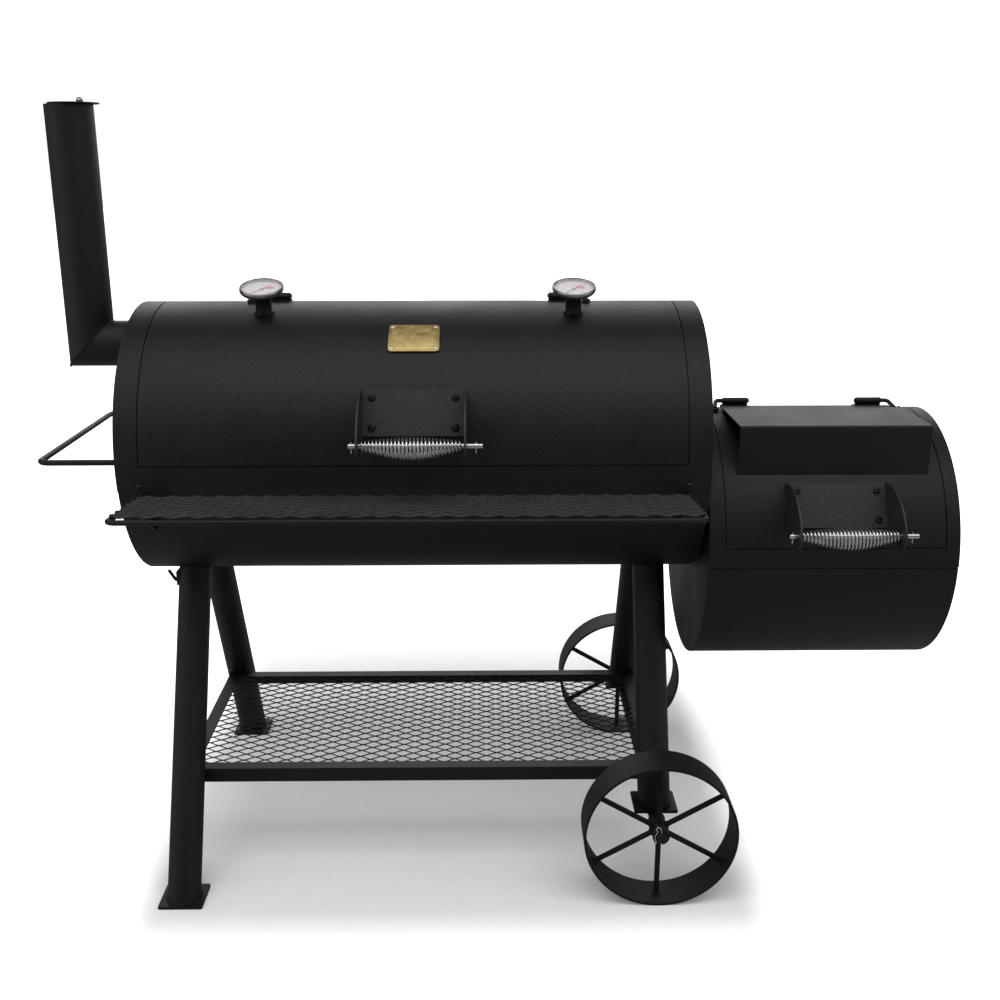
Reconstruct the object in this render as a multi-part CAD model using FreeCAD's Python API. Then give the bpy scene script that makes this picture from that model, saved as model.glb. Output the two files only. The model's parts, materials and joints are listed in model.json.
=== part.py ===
"""Offset smoker: a cooking barrel with a lower firebox barrel on its right end.

Millimetres, +Z up, front towards -Y, firebox towards +X.
The origin is on the ground, under the middle of the whole object.
"""
import FreeCAD
import Part
import math
import os

V = FreeCAD.Vector
AXIS_X = V(1, 0, 0)
AXIS_Y = V(0, 1, 0)
AXIS_Z = V(0, 0, 1)

# ---- driving dimensions -------------------------------------------------
# cooking barrel
barrel_radius = 229.0
barrel_length = 922.0
barrel_height = 716.0
shell_wall = 2.5
shell_fit = 0.2
lap_width = 16.0
lap_gap = 1.0
seam_angle = -9.5
seam_bolt_radius = 2.0
seam_bolt_rise = 2.4
seam_bolt_inside = 1.5
seam_bolt_edge = 33.0
seam_bolt_head_gap = 0.05
seam_bolt_play = 0.1
end_flange = 14.0

# barrel lid
lid_margin = 36.0
lid_bottom_angle = 0.6
lid_top_angle = 92.0
lid_gap = 2.0
lip_weld = 7.0
lip_show = 13.0
lip_wall = 1.8
lid_rest = 0.3

# firebox
fire_radius = 217.0
fire_length = 402.0
fire_height = 542.0
fire_gap = 6.0
fire_seam_angle = 0.9
fire_groove_width = 2.2
fire_groove_depth = 1.2
fire_lid_left = 25.0
fire_lid_right = 22.0
fire_lid_bottom_angle = 9.0
fire_lid_top_angle = 92.0
smoke_opening_width = 240.0
smoke_opening_height = 116.0
smoke_opening_radius = 20.0
smoke_opening_middle = 617.0
collar_rim = 22.0

# box shelf folded from sheet on the firebox lid
box_length = 308.5
box_share = 0.751
box_trim = 1.0
box_rise = 7.0
box_wall = 2.5
box_shift = 2.0
box_notch_gap = 1.0
bend_radius = 4.0

# hinges
hinge_barrel_radius = 5.5
hinge_barrel_length = 43.0
hinge_pin_radius = 3.6
hinge_play = 0.08
hinge_tip = 2.5
hinge_arm_reach = 12.0
hinge_arm_slant = 6.0
hinge_arm_drop = 24.0
hinge_back = 15.0
main_hinge_rise = 8.5
fire_hinge_rise = 13.0
hinge_foot_size = 14.0
hinge_foot_height = 8.0
saddle_depth = 24.0
saddle_front = 2.0
saddle_back = 4.0
main_hinge_spread = 239.5
fire_hinge_spread = 116.0
fire_hinge_shift = -8.0

# lid handles, both alike
bracket_width = 163.0
bracket_height = 73.0
bracket_wall = 3.0
fin_arc_radius = 98.0
grip_drop = 59.0
grip_reach = 57.0
fin_end_radius = 21.0
fin_end_turn = 35.0
grip_rod_radius = 4.0
grip_rod_chamfer = 0.6
grip_rod_spare = 37.0
grip_rod_shift = 6.0
grip_play = 0.5
coil_wire = 2.8
coil_end_radius = 5.9
coil_middle_radius = 15.6
coil_pitch = 6.0
coil_close_pitch = 3.2
coil_close_turns = 3
coil_side_gap = 1.0
main_handle_angle = 21.4
fire_handle_angle = 27.5
fire_handle_shift = 3.5
bolt_radius = 3.0
bolt_head_radius = 5.2
bolt_head_height = 3.2
bolt_inset_x = 17.2
bolt_inset_z = 12.8
bolt_length = 16.0
bolt_nut_height = 4.0
bolt_nut_gap = 10.0
split_pin_radius = 1.1
split_pin_rise = 6.5
split_pin_drop = 7.5
split_pin_eye = 2.2
split_pin_edge = 10.0

# dial thermometers
gauge_angle = 73.0
gauge_spread = 250.5
gauge_shift = 2.7
gauge_radius = 35.5
gauge_height = 46.0
gauge_case_depth = 12.0
gauge_bezel = 3.2
gauge_stem_radius = 13.0
gauge_base_radius = 16.0
gauge_base_height = 3.0
gauge_thread_radius = 5.0
gauge_probe_length = 42.0
gauge_nut_radius = 12.0
gauge_nut_height = 6.0
dial_wall = 1.0
glass_wall = 1.5
needle_length = 24.0
needle_tail = 8.0
needle_width = 2.2
needle_wall = 0.6
needle_hub_radius = 3.0
spindle_radius = 1.1
needle_start = 140.0

# name plate
plate_length = 80.0
plate_bottom_angle = 46.5
plate_top_angle = 61.0
plate_wall = 1.2
plate_shift = -2.0
rivet_radius = 2.6
rivet_inset = 6.0

# chimney
stack_radius = 38.1
stack_wall = 2.0
stack_reach = 92.5
stack_top = 1258.0
stub_drop = 69.0
stub_inside = 22.0
cap_radius = 40.0
cap_wall = 2.0
cap_gap = 0.6
cap_swing = 15.5
cap_pivot_back = 28.0
cap_pivot_side = 9.0
cap_overhang = 0.5
cap_bolt_radius = 3.0
cap_bolt_play = 0.08
cap_tab_width = 16.0
cap_tab_depth = 15.0
cap_tab_wall = 3.0
cap_tab_drop = 0.2
cap_washer_radius = 6.5
cap_washer_wall = 1.2
cap_nut_height = 4.0
dome_radius = 5.5

# side handle
side_handle_radius = 4.8
side_handle_half_width = 188.0
side_handle_reach = 132.0
side_handle_bend = 16.0

# front shelf
shelf_length = 856.0
shelf_depth = 178.0
shelf_back_height = 672.0
shelf_tilt = 5.6
shelf_rod_radius = 4.2
shelf_corner = 14.0
mesh_wall = 2.5
mesh_strand = 2.8
mesh_long = 36.3
mesh_short = 21.0
front_mesh_strand = 5.0
front_mesh_short = 26.0
mesh_leg_gap = 2.0
shelf_bracket_spread = 412.0
shelf_bracket_wall = 4.0
shelf_bracket_drop = 60.0
shelf_bracket_reach = 70.0
shelf_bracket_nose = 12.0
shelf_bracket_heel = 30.0

# legs and feet
leg_radius = 27.0
leg_wall = 2.0
leg_spread = 391.0
leg_top_offset = 68.0
leg_foot_offset = 298.0
leg_reference_top = 498.0
foot_length = 72.0
foot_width = 64.0
foot_wall = 5.0
foot_corner = 3.0
axle_seat_gap = 0.2
hook_height = 484.0
hook_plate_width = 22.0
hook_plate_height = 24.0
hook_plate_wall = 3.0
hook_rod_radius = 2.8
hook_reach = 15.0
hook_rise = 18.0
hook_bend = 3.2
hook_root = 4.0

# bottom shelf
tray_height = 180.0
tray_half_length = 406.5
tray_half_depth = 194.0
angle_leg = 25.0
angle_flat = 22.0
angle_wall = 3.0

# wheels
wheel_radius = 125.0
wheel_width = 62.0
wheel_out = 271.0
rim_wall = 4.0
spoke_radius = 4.4
spoke_count = 6
hub_radius = 13.0
hub_length = 48.0
hub_play = 0.08
axle_radius = 8.0
axle_end = 33.0
clip_inset = 4.5
clip_wire = 1.1
clip_length = 22.0
axle_strap_wall = 4.5
axle_strap_width = 26.0
axle_chamfer = 1.5
axle_fit = 0.05
collar_washer_radius = 14.0
collar_washer_wall = 2.5
washer_gap = 0.5

# inside
grate_over_seam = 21.8
grate_wall = 6.0
grate_bar = 6.0
grate_slot = 14.0
grate_frame = 10.0
grate_gap = 8.0
grate_side_gap = 10.0
rail_leg = 20.0
rail_wall = 2.5
coal_grate_height = 430.0
coal_bar = 9.0
damper_radius = 62.0
damper_wall = 2.5
damper_height = 470.0
damper_slot_inner = 16.0
damper_slot_outer = 52.0
damper_stud_radius = 4.0
damper_knob_radius = 8.0
damper_knob_length = 9.0
damper_head_rim = 2.5
damper_head_wall = 3.0
damper_slot_turn = 80.0
damper_play = 0.08
damper_gap = 0.4

# ---- layout worked out from the driving dimensions ------------------------
left_reach = side_handle_reach + side_handle_radius
fire_left_offset = barrel_length + fire_gap
fire_right_offset = fire_left_offset + fire_length
right_reach = damper_gap + damper_wall + damper_knob_length
total_length = left_reach + fire_right_offset + right_reach
barrel_left = -total_length / 2 + left_reach
barrel_right = barrel_left + barrel_length
barrel_middle = barrel_left + barrel_length / 2
fire_left = barrel_left + fire_left_offset
fire_right = barrel_left + fire_right_offset
fire_middle = (fire_left + fire_right) / 2

shelf_reach = barrel_radius - 4.0
wheel_middle = wheel_out + leg_radius
grip_rod_length = bracket_width + grip_rod_spare
front_reach = shelf_reach + shelf_depth * math.cos(math.radians(shelf_tilt)) + shelf_rod_radius
rear_reach = wheel_middle + axle_end
barrel_y = (front_reach - rear_reach) / 2
lower_radius = barrel_radius - shell_wall - shell_fit
fire_lower_radius = fire_radius - shell_wall - shell_fit
box_depth = fire_radius * box_share
box_drop = fire_radius - math.sqrt(fire_radius ** 2 - box_depth ** 2)
box_height = box_rise + box_drop + box_trim
stack_x = barrel_left - stack_reach
stub_height = barrel_height + barrel_radius - stub_drop
grate_height = barrel_height + barrel_radius * math.sin(math.radians(seam_angle)) + grate_over_seam
axle_x = barrel_middle + leg_spread
axle_z = wheel_radius
axle_leg_bottom = axle_z + axle_radius + axle_seat_gap


def rad(angle):
    """Degrees to radians."""
    return math.radians(angle)


def ring_point(x, angle, radius, height):
    """A point on a barrel: angle 0 faces front, 90 is the top."""
    y = barrel_y - radius * math.cos(rad(angle))
    return V(x, y, height + radius * math.sin(rad(angle)))


def outward(angle):
    """Unit vector out of a barrel at an angle."""
    return V(0, -math.cos(rad(angle)), math.sin(rad(angle)))


def downward(angle):
    """Unit vector down the front of a barrel at an angle."""
    return V(0, -math.sin(rad(angle)), -math.cos(rad(angle)))


def disc(x, height, radius, thick):
    """Solid disc across a barrel's axis."""
    return Part.makeCylinder(radius, thick, V(x, barrel_y, height), AXIS_X)


def tube(base, direction, outer, inner, length):
    """Round tube."""
    body = Part.makeCylinder(outer, length, base, direction)
    return body.cut(Part.makeCylinder(inner, length, base, direction))


def curved_panel(x0, x1, height, outer, inner, start, end):
    """Part of a tube along X between two angles."""
    face = curved_profile(x0, height, outer, inner, start, end)
    return face.extrude(V(x1 - x0, 0, 0))


def curved_profile(x, height, outer, inner, start, end):
    """Ring sector across X between two angles."""
    middle = (start + end) / 2
    a = Part.Arc(ring_point(x, start, outer, height), ring_point(x, middle, outer, height),
                 ring_point(x, end, outer, height)).toShape()
    b = Part.Arc(ring_point(x, end, inner, height), ring_point(x, middle, inner, height),
                 ring_point(x, start, inner, height)).toShape()
    c = Part.makeLine(ring_point(x, end, outer, height), ring_point(x, end, inner, height))
    d = Part.makeLine(ring_point(x, start, inner, height), ring_point(x, start, outer, height))
    return Part.Face(Part.Wire([a, c, b, d]))


def round_bar(points, radius, bend):
    """Round bar along straight runs with bent corners."""
    path = bent_path(points, bend)
    circle = Part.Wire(Part.makeCircle(radius, points[0], points[1] - points[0]))
    return path.makePipeShell([circle], True, False)


def bent_path(points, bend):
    """Straight runs joined by tangent arcs of one radius."""
    edges = []
    last = points[0]
    for i in range(1, len(points) - 1):
        before = (points[i - 1] - points[i]).normalize()
        after = (points[i + 1] - points[i]).normalize()
        half = before.getAngle(after) / 2
        back = bend / math.tan(half)
        p = points[i] + before * back
        q = points[i] + after * back
        inwards = (before + after).normalize()
        centre = points[i] + inwards * (bend / math.sin(half))
        edges.append(Part.makeLine(last, p))
        edges.append(Part.Arc(p, centre - inwards * bend, q).toShape())
        last = q
    edges.append(Part.makeLine(last, points[-1]))
    return Part.Wire(edges)


def join(pieces):
    """One solid from touching pieces."""
    body = pieces[0]
    if len(pieces) > 1:
        body = pieces[0].fuse(pieces[1:])
    return body.removeSplitter()


def save(name, shape):
    """Write one sub-part."""
    shape.exportStep("parts/" + name + ".step")


# ---- barrel shells --------------------------------------------------------
def lower_shell(x0, x1, height, radius, seam):
    """Lower half shell; its edges run up inside the upper half."""
    lap = math.degrees(lap_width / radius)
    return curved_panel(x0, x1, height, radius, radius - shell_wall, -180 - seam - lap, seam + lap)


def grooved_shell(x0, x1, height, radius, seam):
    """Lower half shell whose wall swells out below the lap, leaving a groove along the seam."""
    lap = lower_shell(x0, x1, height, radius, seam)
    groove = math.degrees(fire_groove_width / radius)
    wall = curved_panel(x0, x1, height, radius + fire_groove_depth, radius - shell_wall,
                        -180 - seam + groove, seam - groove)
    return join([lap, wall])


def upper_shell(x0, x1, height, radius, seam, lid):
    """Upper half shell with the lid opening and a lip inside its edges."""
    inner = radius - shell_wall
    shell = curved_panel(x0, x1, height, radius, inner, seam, 180 - seam)
    lid_x0, lid_x1, bottom, top = lid
    hole = curved_panel(lid_x0, lid_x1, height, radius + shell_wall, inner - shell_wall, bottom, top)
    shell = shell.cut(hole)
    weld = math.degrees(lip_weld / radius)
    show = math.degrees(lip_show / radius)
    lip = curved_panel(lid_x0 - lip_weld, lid_x1 + lip_weld, height, inner, inner - lip_wall,
                       bottom - weld, top + weld)
    seat = curved_panel(lid_x0, lid_x1, height, radius, inner - lid_rest, bottom, top)
    gap = curved_panel(lid_x0 + lip_show, lid_x1 - lip_show, height, radius, inner - 2 * lip_wall,
                       bottom + show, top - show)
    return join([shell, lip.cut(seat).cut(gap)])


def end_pan(x, height, radius, seam, facing):
    """Dished end: a flanged disc inside both shells, stepped out where the lower shell ends."""
    thick = shell_wall
    low = radius - 2 * shell_wall - 2 * shell_fit
    high = radius - shell_wall - shell_fit
    flange_x = x if facing < 0 else x - end_flange
    disc_x = x if facing < 0 else x - thick
    pan = tube(V(flange_x, barrel_y, height), AXIS_X, low, low - thick, end_flange)
    start = seam + math.degrees((lap_width + lap_gap) / radius)
    step = curved_panel(flange_x, flange_x + end_flange, height, high, low - thick, start, 180 - start)
    return join([pan, disc(disc_x, height, low, thick), step])


def smoke_opening(x, length, grow):
    """Rounded opening between the barrels."""
    width = smoke_opening_width + 2 * grow
    tall = smoke_opening_height + 2 * grow
    block = Part.makeBox(length, width, tall,
                         V(x, barrel_y - width / 2, smoke_opening_middle - tall / 2))
    edges = [e for e in block.Edges if abs(e.tangentAt(e.FirstParameter).x) > 0.99]
    return block.makeFillet(smoke_opening_radius, edges)


def seam_bolt_places():
    """Where the cooking barrel's laps are bolted: near each end, front and back."""
    up = math.degrees(lap_width / barrel_radius / 2)
    return [(x, angle) for x in (barrel_left + seam_bolt_edge, barrel_right - seam_bolt_edge)
            for angle in (seam_angle + up, 180 - seam_angle - up)]


def seam_bolts():
    """Dome-head bolts through the lap joints."""
    return Part.makeCompound([seam_bolt(*place) for place in seam_bolt_places()])


def seam_bolt(x, angle):
    """One lap bolt with a domed head."""
    out = outward(angle)
    reach = 2 * shell_wall + shell_fit + seam_bolt_inside
    base = ring_point(x, angle, barrel_radius - reach, barrel_height)
    top = ring_point(x, angle, barrel_radius + seam_bolt_head_gap, barrel_height)
    shank = Part.makeCylinder(seam_bolt_radius, reach + seam_bolt_head_gap, base, out)
    return join([shank, dome(top, out, 2 * seam_bolt_radius, seam_bolt_rise)])


def drill_seam(shell):
    """Cooking barrel shell with its lap bolts' holes."""
    for x, angle in seam_bolt_places():
        base = ring_point(x, angle, barrel_radius - lap_width, barrel_height)
        hole = Part.makeCylinder(seam_bolt_radius + seam_bolt_play, 2 * lap_width, base, outward(angle))
        shell = shell.cut(hole)
    return shell


def dome(base, direction, radius, rise):
    """Low domed head on a surface."""
    ball = (radius * radius + rise * rise) / (2 * rise)
    sphere = Part.makeSphere(ball, base - direction * (ball - rise))
    cap = Part.makeCylinder(radius * 1.5, rise * 2, base, direction)
    return sphere.common(cap)


main_lid_span = (barrel_left + lid_margin, barrel_right - lid_margin,
                 lid_bottom_angle, lid_top_angle)
fire_lid_span = (fire_left + fire_lid_left, fire_right - fire_lid_right,
                 fire_lid_bottom_angle, fire_lid_top_angle)


def lid_panel(span, radius, height):
    """Curved lid that fills its opening less the gap."""
    x0, x1, bottom, top = span
    turn = math.degrees(lid_gap / radius)
    return curved_panel(x0 + lid_gap, x1 - lid_gap, height, radius, radius - shell_wall,
                        bottom + turn, top - turn)


# ---- hinges ---------------------------------------------------------------
def hinge_axis(radius, height, rise):
    """Height of the hinge axis over a barrel's back edge."""
    return height + math.sqrt(radius ** 2 - hinge_back ** 2) + rise


def hinge_barrel(middle, radius, height, rise):
    """Tube welded on a saddle behind the lid's back edge."""
    z = hinge_axis(radius, height, rise)
    x0 = middle - hinge_barrel_length / 2
    y = barrel_y + hinge_back
    body = Part.makeCylinder(hinge_barrel_radius, hinge_barrel_length, V(x0, y, z), AXIS_X)
    low = z - rise - hinge_barrel_radius - saddle_back
    saddle = Part.makeBox(hinge_barrel_length, saddle_depth, z - saddle_front - low,
                          V(x0, y - saddle_front, low))
    back = Part.makeBox(hinge_barrel_length, saddle_depth, saddle_depth,
                        V(x0, y + hinge_barrel_radius, z - rise + saddle_front))
    saddle = saddle.cut(back).cut(disc(x0, height, radius + 0.1, hinge_barrel_length))
    body = join([body, saddle])
    bore = Part.makeCylinder(hinge_pin_radius + hinge_play, hinge_barrel_length, V(x0, y, z), AXIS_X)
    return body.cut(bore)


def hinge_pin(middle, radius, height, rise, side):
    """Pin through the barrel; its outer end bends down to a foot on the lid."""
    z = hinge_axis(radius, height, rise)
    y = barrel_y + hinge_back
    inner = V(middle - side * (hinge_barrel_length / 2 + hinge_tip), y, z)
    corner = V(middle + side * (hinge_barrel_length / 2 + hinge_arm_reach), y, z)
    foot = hinge_foot(middle, radius, height, side)
    bar = round_bar([inner, corner, foot], hinge_pin_radius, hinge_pin_radius * 1.6)
    pad = Part.makeCylinder(hinge_foot_size / 2, hinge_foot_height,
                            V(foot.x, foot.y, foot.z - hinge_foot_height + 1.0), AXIS_Z)
    pad = pad.cut(disc(foot.x - hinge_foot_size, height, radius + 0.1, 2 * hinge_foot_size))
    return join([bar, pad])


def hinge_foot(middle, radius, height, side):
    """Where a hinge pin's arm meets the lid."""
    y = barrel_y + hinge_back - hinge_arm_drop
    surface = math.sqrt(radius ** 2 - (y - barrel_y) ** 2)
    x = middle + side * (hinge_barrel_length / 2 + hinge_arm_reach + hinge_arm_slant)
    return V(x, y, height + surface + hinge_pin_radius + 0.5)


def hinge_middles(middle, spread):
    """Left and right hinge with the side its arm is on."""
    return [(middle - spread, -1), (middle + spread, 1)]


# ---- handles --------------------------------------------------------------
def placed_on(angle, radius, height, x, down, out):
    """Point on a tangent plate: down its face and out from the barrel."""
    return ring_point(x, angle, radius, height) + downward(angle) * down + outward(angle) * out


def handle_bracket(middle, angle, radius, height):
    """Folded sheet: a back plate with a curved fin at each end."""
    half = bracket_height / 2
    x0 = middle - bracket_width / 2
    seat = shell_fit
    corners = [(-half, seat), (half, seat), (half, seat + bracket_wall), (-half, seat + bracket_wall)]
    points = [placed_on(angle, radius, height, x0, d, o) for d, o in corners]
    plate = Part.Face(Part.makePolygon(points + points[:1])).extrude(V(bracket_width, 0, 0))
    left = handle_fin(x0, angle, radius, height)
    right = handle_fin(x0 + bracket_width - bracket_wall, angle, radius, height)
    body = join([plate, left, right])
    rod_at = placed_on(angle, radius, height, x0 - 1.0, grip_drop, grip_reach)
    hole = Part.makeCylinder(grip_rod_radius + shell_fit, bracket_width + 2.0, rod_at, AXIS_X)
    return drill_bracket(body.cut(hole), middle, angle, radius, height)


def handle_fin(x, angle, radius, height):
    """Fin: an arc from the plate's top out to a round end about the grip rod."""
    def at(down, out):
        return placed_on(angle, radius, height, x, down, out + shell_fit)
    half = bracket_height / 2
    centre_out = grip_reach + fin_end_radius - fin_arc_radius
    top_down = grip_drop - math.sqrt(fin_arc_radius ** 2 - centre_out ** 2)
    mid_angle = (math.atan2(-centre_out, top_down - grip_drop) + math.pi / 2) / 2
    mid = (grip_drop + fin_arc_radius * math.cos(mid_angle),
           centre_out + fin_arc_radius * math.sin(mid_angle))
    tip = (grip_drop, grip_reach + fin_end_radius)
    end_x = fin_end_radius * math.cos(rad(fin_end_turn))
    end_y = fin_end_radius * math.sin(rad(fin_end_turn))
    far = (grip_drop + end_x, grip_reach + end_y)
    low = (grip_drop + end_x, grip_reach - end_y)
    edges = [
        Part.Arc(at(top_down, 0), at(*mid), at(*tip)).toShape(),
        Part.Arc(at(*tip), at(*far), at(*low)).toShape(),
        Part.makeLine(at(*low), at(half, 0)),
        Part.makeLine(at(half, 0), at(top_down, 0)),
    ]
    return Part.Face(Part.Wire(edges)).extrude(V(bracket_wall, 0, 0))


def bolt_points(middle, angle, radius, height):
    """Centres of the four bracket bolts on the plate's outer face."""
    dx = bracket_width / 2 - bolt_inset_x
    dz = bracket_height / 2 - bolt_inset_z
    out = shell_fit + bracket_wall
    return [placed_on(angle, radius, height, middle + sx * dx, sz * dz, out)
            for sx in (-1, 1) for sz in (-1, 1)]


def handle_bolts(middle, angle, radius, height):
    """Domed bolts through bracket and lid, each with a nut inside."""
    bolts = []
    out = outward(angle)
    for base in bolt_points(middle, angle, radius, height):
        head = dome(base, out, bolt_head_radius, bolt_head_height)
        shank = Part.makeCylinder(bolt_radius, bolt_length, base - out * bolt_length, out)
        nut_base = base - out * (bolt_nut_gap + bolt_nut_height)
        nut = Part.makeCylinder(bolt_head_radius, bolt_nut_height, nut_base, out)
        bolts.append(join([head, shank, nut]))
    return Part.makeCompound(bolts)


def grip_axis(middle, angle, radius, height):
    """Point on the grip rod's axis at the handle's middle."""
    return placed_on(angle, radius, height, middle, grip_drop, grip_reach)


def grip_rod(middle, angle, radius, height):
    """Straight rod through both fins, longer on the right."""
    base = grip_axis(middle, angle, radius, height)
    base = base + V(grip_rod_shift - grip_rod_length / 2, 0, 0)
    rod = Part.makeCylinder(grip_rod_radius, grip_rod_length, base, AXIS_X)
    rim = [e for e in rod.Edges if e.Curve.TypeId == "Part::GeomCircle"]
    rod = rod.makeChamfer(grip_rod_chamfer, rim)
    for x in split_pin_places(base.x):
        low = V(x, base.y, base.z - 2 * grip_rod_radius)
        hole = Part.makeCylinder(split_pin_radius + 0.1, 4 * grip_rod_radius, low, AXIS_Z)
        rod = rod.cut(hole)
    return rod


def split_pin_places(left):
    """Split pins' places along a rod, from its left end."""
    return left + split_pin_edge / 2, left + grip_rod_length - split_pin_edge


def split_pins(middle, angle, radius, height):
    """Split pins through the rod just outside each fin, with their eyes underneath."""
    pins = []
    centre = grip_axis(middle, angle, radius, height)
    left = centre.x + grip_rod_shift - grip_rod_length / 2
    for x in split_pin_places(left):
        low = V(x, centre.y, centre.z - split_pin_drop)
        shank = Part.makeCylinder(split_pin_radius, split_pin_drop + split_pin_rise, low, AXIS_Z)
        eye_at = low - V(0, 0, split_pin_eye * 0.7)
        eye = Part.makeTorus(split_pin_eye, split_pin_radius * 0.8, eye_at, AXIS_X)
        pins.append(join([shank, eye]))
    return Part.makeCompound(pins)


def coil_grip(middle, angle, radius, height):
    """Barrel-shaped coil spring loose on the rod, close wound at its ends."""
    centre = grip_axis(middle, angle, radius, height)
    inside = bracket_width - 2 * bracket_wall
    length = inside - 2 * coil_side_gap - coil_wire
    close = coil_close_turns * coil_close_pitch
    open_turns = round((length - 2 * close) / coil_pitch)
    turns = open_turns + 2 * coil_close_turns
    step = 12
    points = []
    for i in range(turns * step + 1):
        turn = i / step
        if turn < coil_close_turns:
            along = turn * coil_close_pitch
        elif turn > turns - coil_close_turns:
            along = length - (turns - turn) * coil_close_pitch
        else:
            along = close + (turn - coil_close_turns) * (length - 2 * close) / open_turns
        swell = math.sin(math.pi * along / length) ** 1.3
        r = coil_end_radius + (coil_middle_radius - coil_end_radius) * swell
        a = 2 * math.pi * turn
        points.append(centre + V(along - length / 2, r * math.cos(a), r * math.sin(a)))
    curve = Part.BSplineCurve()
    curve.interpolate(points)
    path = Part.Wire(curve.toShape())
    run = points[1] - points[0]
    circle = Part.Wire(Part.makeCircle(coil_wire / 2, points[0], run))
    return path.makePipeShell([circle], True, True)


# ---- gauges and name plate ------------------------------------------------
def gauge_middles():
    """Where the left and right thermometers stand."""
    middle = barrel_middle + gauge_shift
    return [middle - gauge_spread, middle + gauge_spread]


def gauge_frame(middle):
    """Foot of a gauge on the lid."""
    return ring_point(middle, gauge_angle, barrel_radius, barrel_height)


def gauge_case(middle):
    """Bezel, drawn case, stem and threaded tail on one axis."""
    foot = gauge_frame(middle)
    out = outward(gauge_angle)
    back = gauge_height - gauge_case_depth
    profile = [
        (0.0, -gauge_probe_length), (2.5, -gauge_probe_length), (2.5, -14.0),
        (gauge_thread_radius, -14.0), (gauge_thread_radius, 0.2),
        (gauge_base_radius, 0.2), (gauge_base_radius, gauge_base_height),
        (gauge_stem_radius, gauge_base_height + 1.5), (gauge_stem_radius, back - 4.0),
        (gauge_radius - 8.0, back), (gauge_radius - 1.5, back + 4.0),
        (gauge_radius, back + 6.0), (gauge_radius, gauge_height - 1.5),
        (gauge_radius - 1.5, gauge_height), (gauge_radius - gauge_bezel, gauge_height),
        (gauge_radius - gauge_bezel, gauge_height - 7.0), (0.0, gauge_height - 7.0),
    ]
    points = [foot + V(r, 0, 0) + out * h for r, h in profile]
    face = Part.Face(Part.makePolygon(points + points[:1]))
    return face.revolve(foot, out, 360)


def gauge_disc(middle, radius, start, thick):
    """Disc in a gauge at a height above the lid."""
    out = outward(gauge_angle)
    return Part.makeCylinder(radius, thick, gauge_frame(middle) + out * start, out)


def gauge_dial(middle):
    """Printed dial, with a hole for the needle's hub."""
    inner = gauge_radius - gauge_bezel - 0.3
    dial = gauge_disc(middle, inner, gauge_height - 6.9, dial_wall)
    return dial.cut(gauge_disc(middle, spindle_radius + 0.3, gauge_height - 8.0, 4.0))


def gauge_glass(middle):
    """Flat glass held by the bezel."""
    inner = gauge_radius - gauge_bezel - 0.1
    return gauge_disc(middle, inner, gauge_height - glass_wall - 0.8, glass_wall)


def gauge_needle(middle):
    """Tapered pointer on a small hub and spindle."""
    out = outward(gauge_angle)
    along = downward(gauge_angle)
    across = AXIS_X
    base = gauge_frame(middle) + out * (gauge_height - 5.2)
    half = needle_width / 2
    outline = [(-half, needle_tail), (half, needle_tail),
               (half * 0.3, -needle_length), (-half * 0.3, -needle_length)]
    points = [base + across * a + along * b for a, b in outline]
    blade = Part.Face(Part.makePolygon(points + points[:1])).extrude(out * needle_wall)
    hub = Part.makeCylinder(needle_hub_radius, 1.2, base, out)
    spindle = Part.makeCylinder(spindle_radius, 1.7, base - out * 1.7, out)
    needle = join([blade, hub, spindle])
    needle.rotate(base, out, needle_start)
    return needle


def gauge_nut(middle):
    """Hexagon nut inside the lid."""
    out = outward(gauge_angle)
    base = gauge_frame(middle) - out * (shell_wall + 0.5 + gauge_nut_height)
    corners = [base + AXIS_X * (gauge_nut_radius * math.cos(rad(60 * i)))
               + downward(gauge_angle) * (gauge_nut_radius * math.sin(rad(60 * i))) for i in range(7)]
    nut = Part.Face(Part.makePolygon(corners)).extrude(out * gauge_nut_height)
    return nut.cut(Part.makeCylinder(gauge_thread_radius + 0.1, gauge_nut_height, base, out))


def name_plate():
    """Blank plate bent to the lid's curve."""
    x0 = barrel_middle + plate_shift - plate_length / 2
    inner = barrel_radius + 0.1
    plate = curved_panel(x0, x0 + plate_length, barrel_height, inner + plate_wall, inner,
                         plate_bottom_angle, plate_top_angle)
    return drill_rivets(plate)


def rivet_places():
    """The name plate's four rivets."""
    turn = math.degrees(rivet_inset / barrel_radius)
    middle = barrel_middle + plate_shift
    reach = plate_length / 2 - rivet_inset
    return [(middle + side * reach, angle) for side in (-1, 1)
            for angle in (plate_bottom_angle + turn, plate_top_angle - turn)]


def drill_rivets(shape):
    """Holes for the name plate's rivets."""
    for x, angle in rivet_places():
        base = ring_point(x, angle, barrel_radius - 10.0, barrel_height)
        shape = shape.cut(Part.makeCylinder(rivet_radius * 0.5 + 0.1, 20.0, base, outward(angle)))
    return shape


def plate_rivets():
    """Four small dome rivets at the plate's corners."""
    rivets = []
    top = barrel_radius + 0.15 + plate_wall
    for x, angle in rivet_places():
        out = outward(angle)
        base = ring_point(x, angle, top, barrel_height)
        shank = Part.makeCylinder(rivet_radius * 0.5, 5.0, base - out * 5.0, out)
        rivets.append(join([dome(base, out, rivet_radius, rivet_radius * 0.55), shank]))
    return Part.makeCompound(rivets)


def drilled_lid():
    """Barrel lid with holes for gauges, bolts and rivets."""
    lid = lid_panel(main_lid_span, barrel_radius, barrel_height)
    out = outward(gauge_angle)
    for middle in gauge_middles():
        foot = gauge_frame(middle)
        lid = lid.cut(Part.makeCylinder(gauge_thread_radius + 0.2, 20.0, foot - out * 10.0, out))
    lid = drill_bracket(lid, barrel_middle, main_handle_angle, barrel_radius, barrel_height)
    return drill_rivets(lid)


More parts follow.
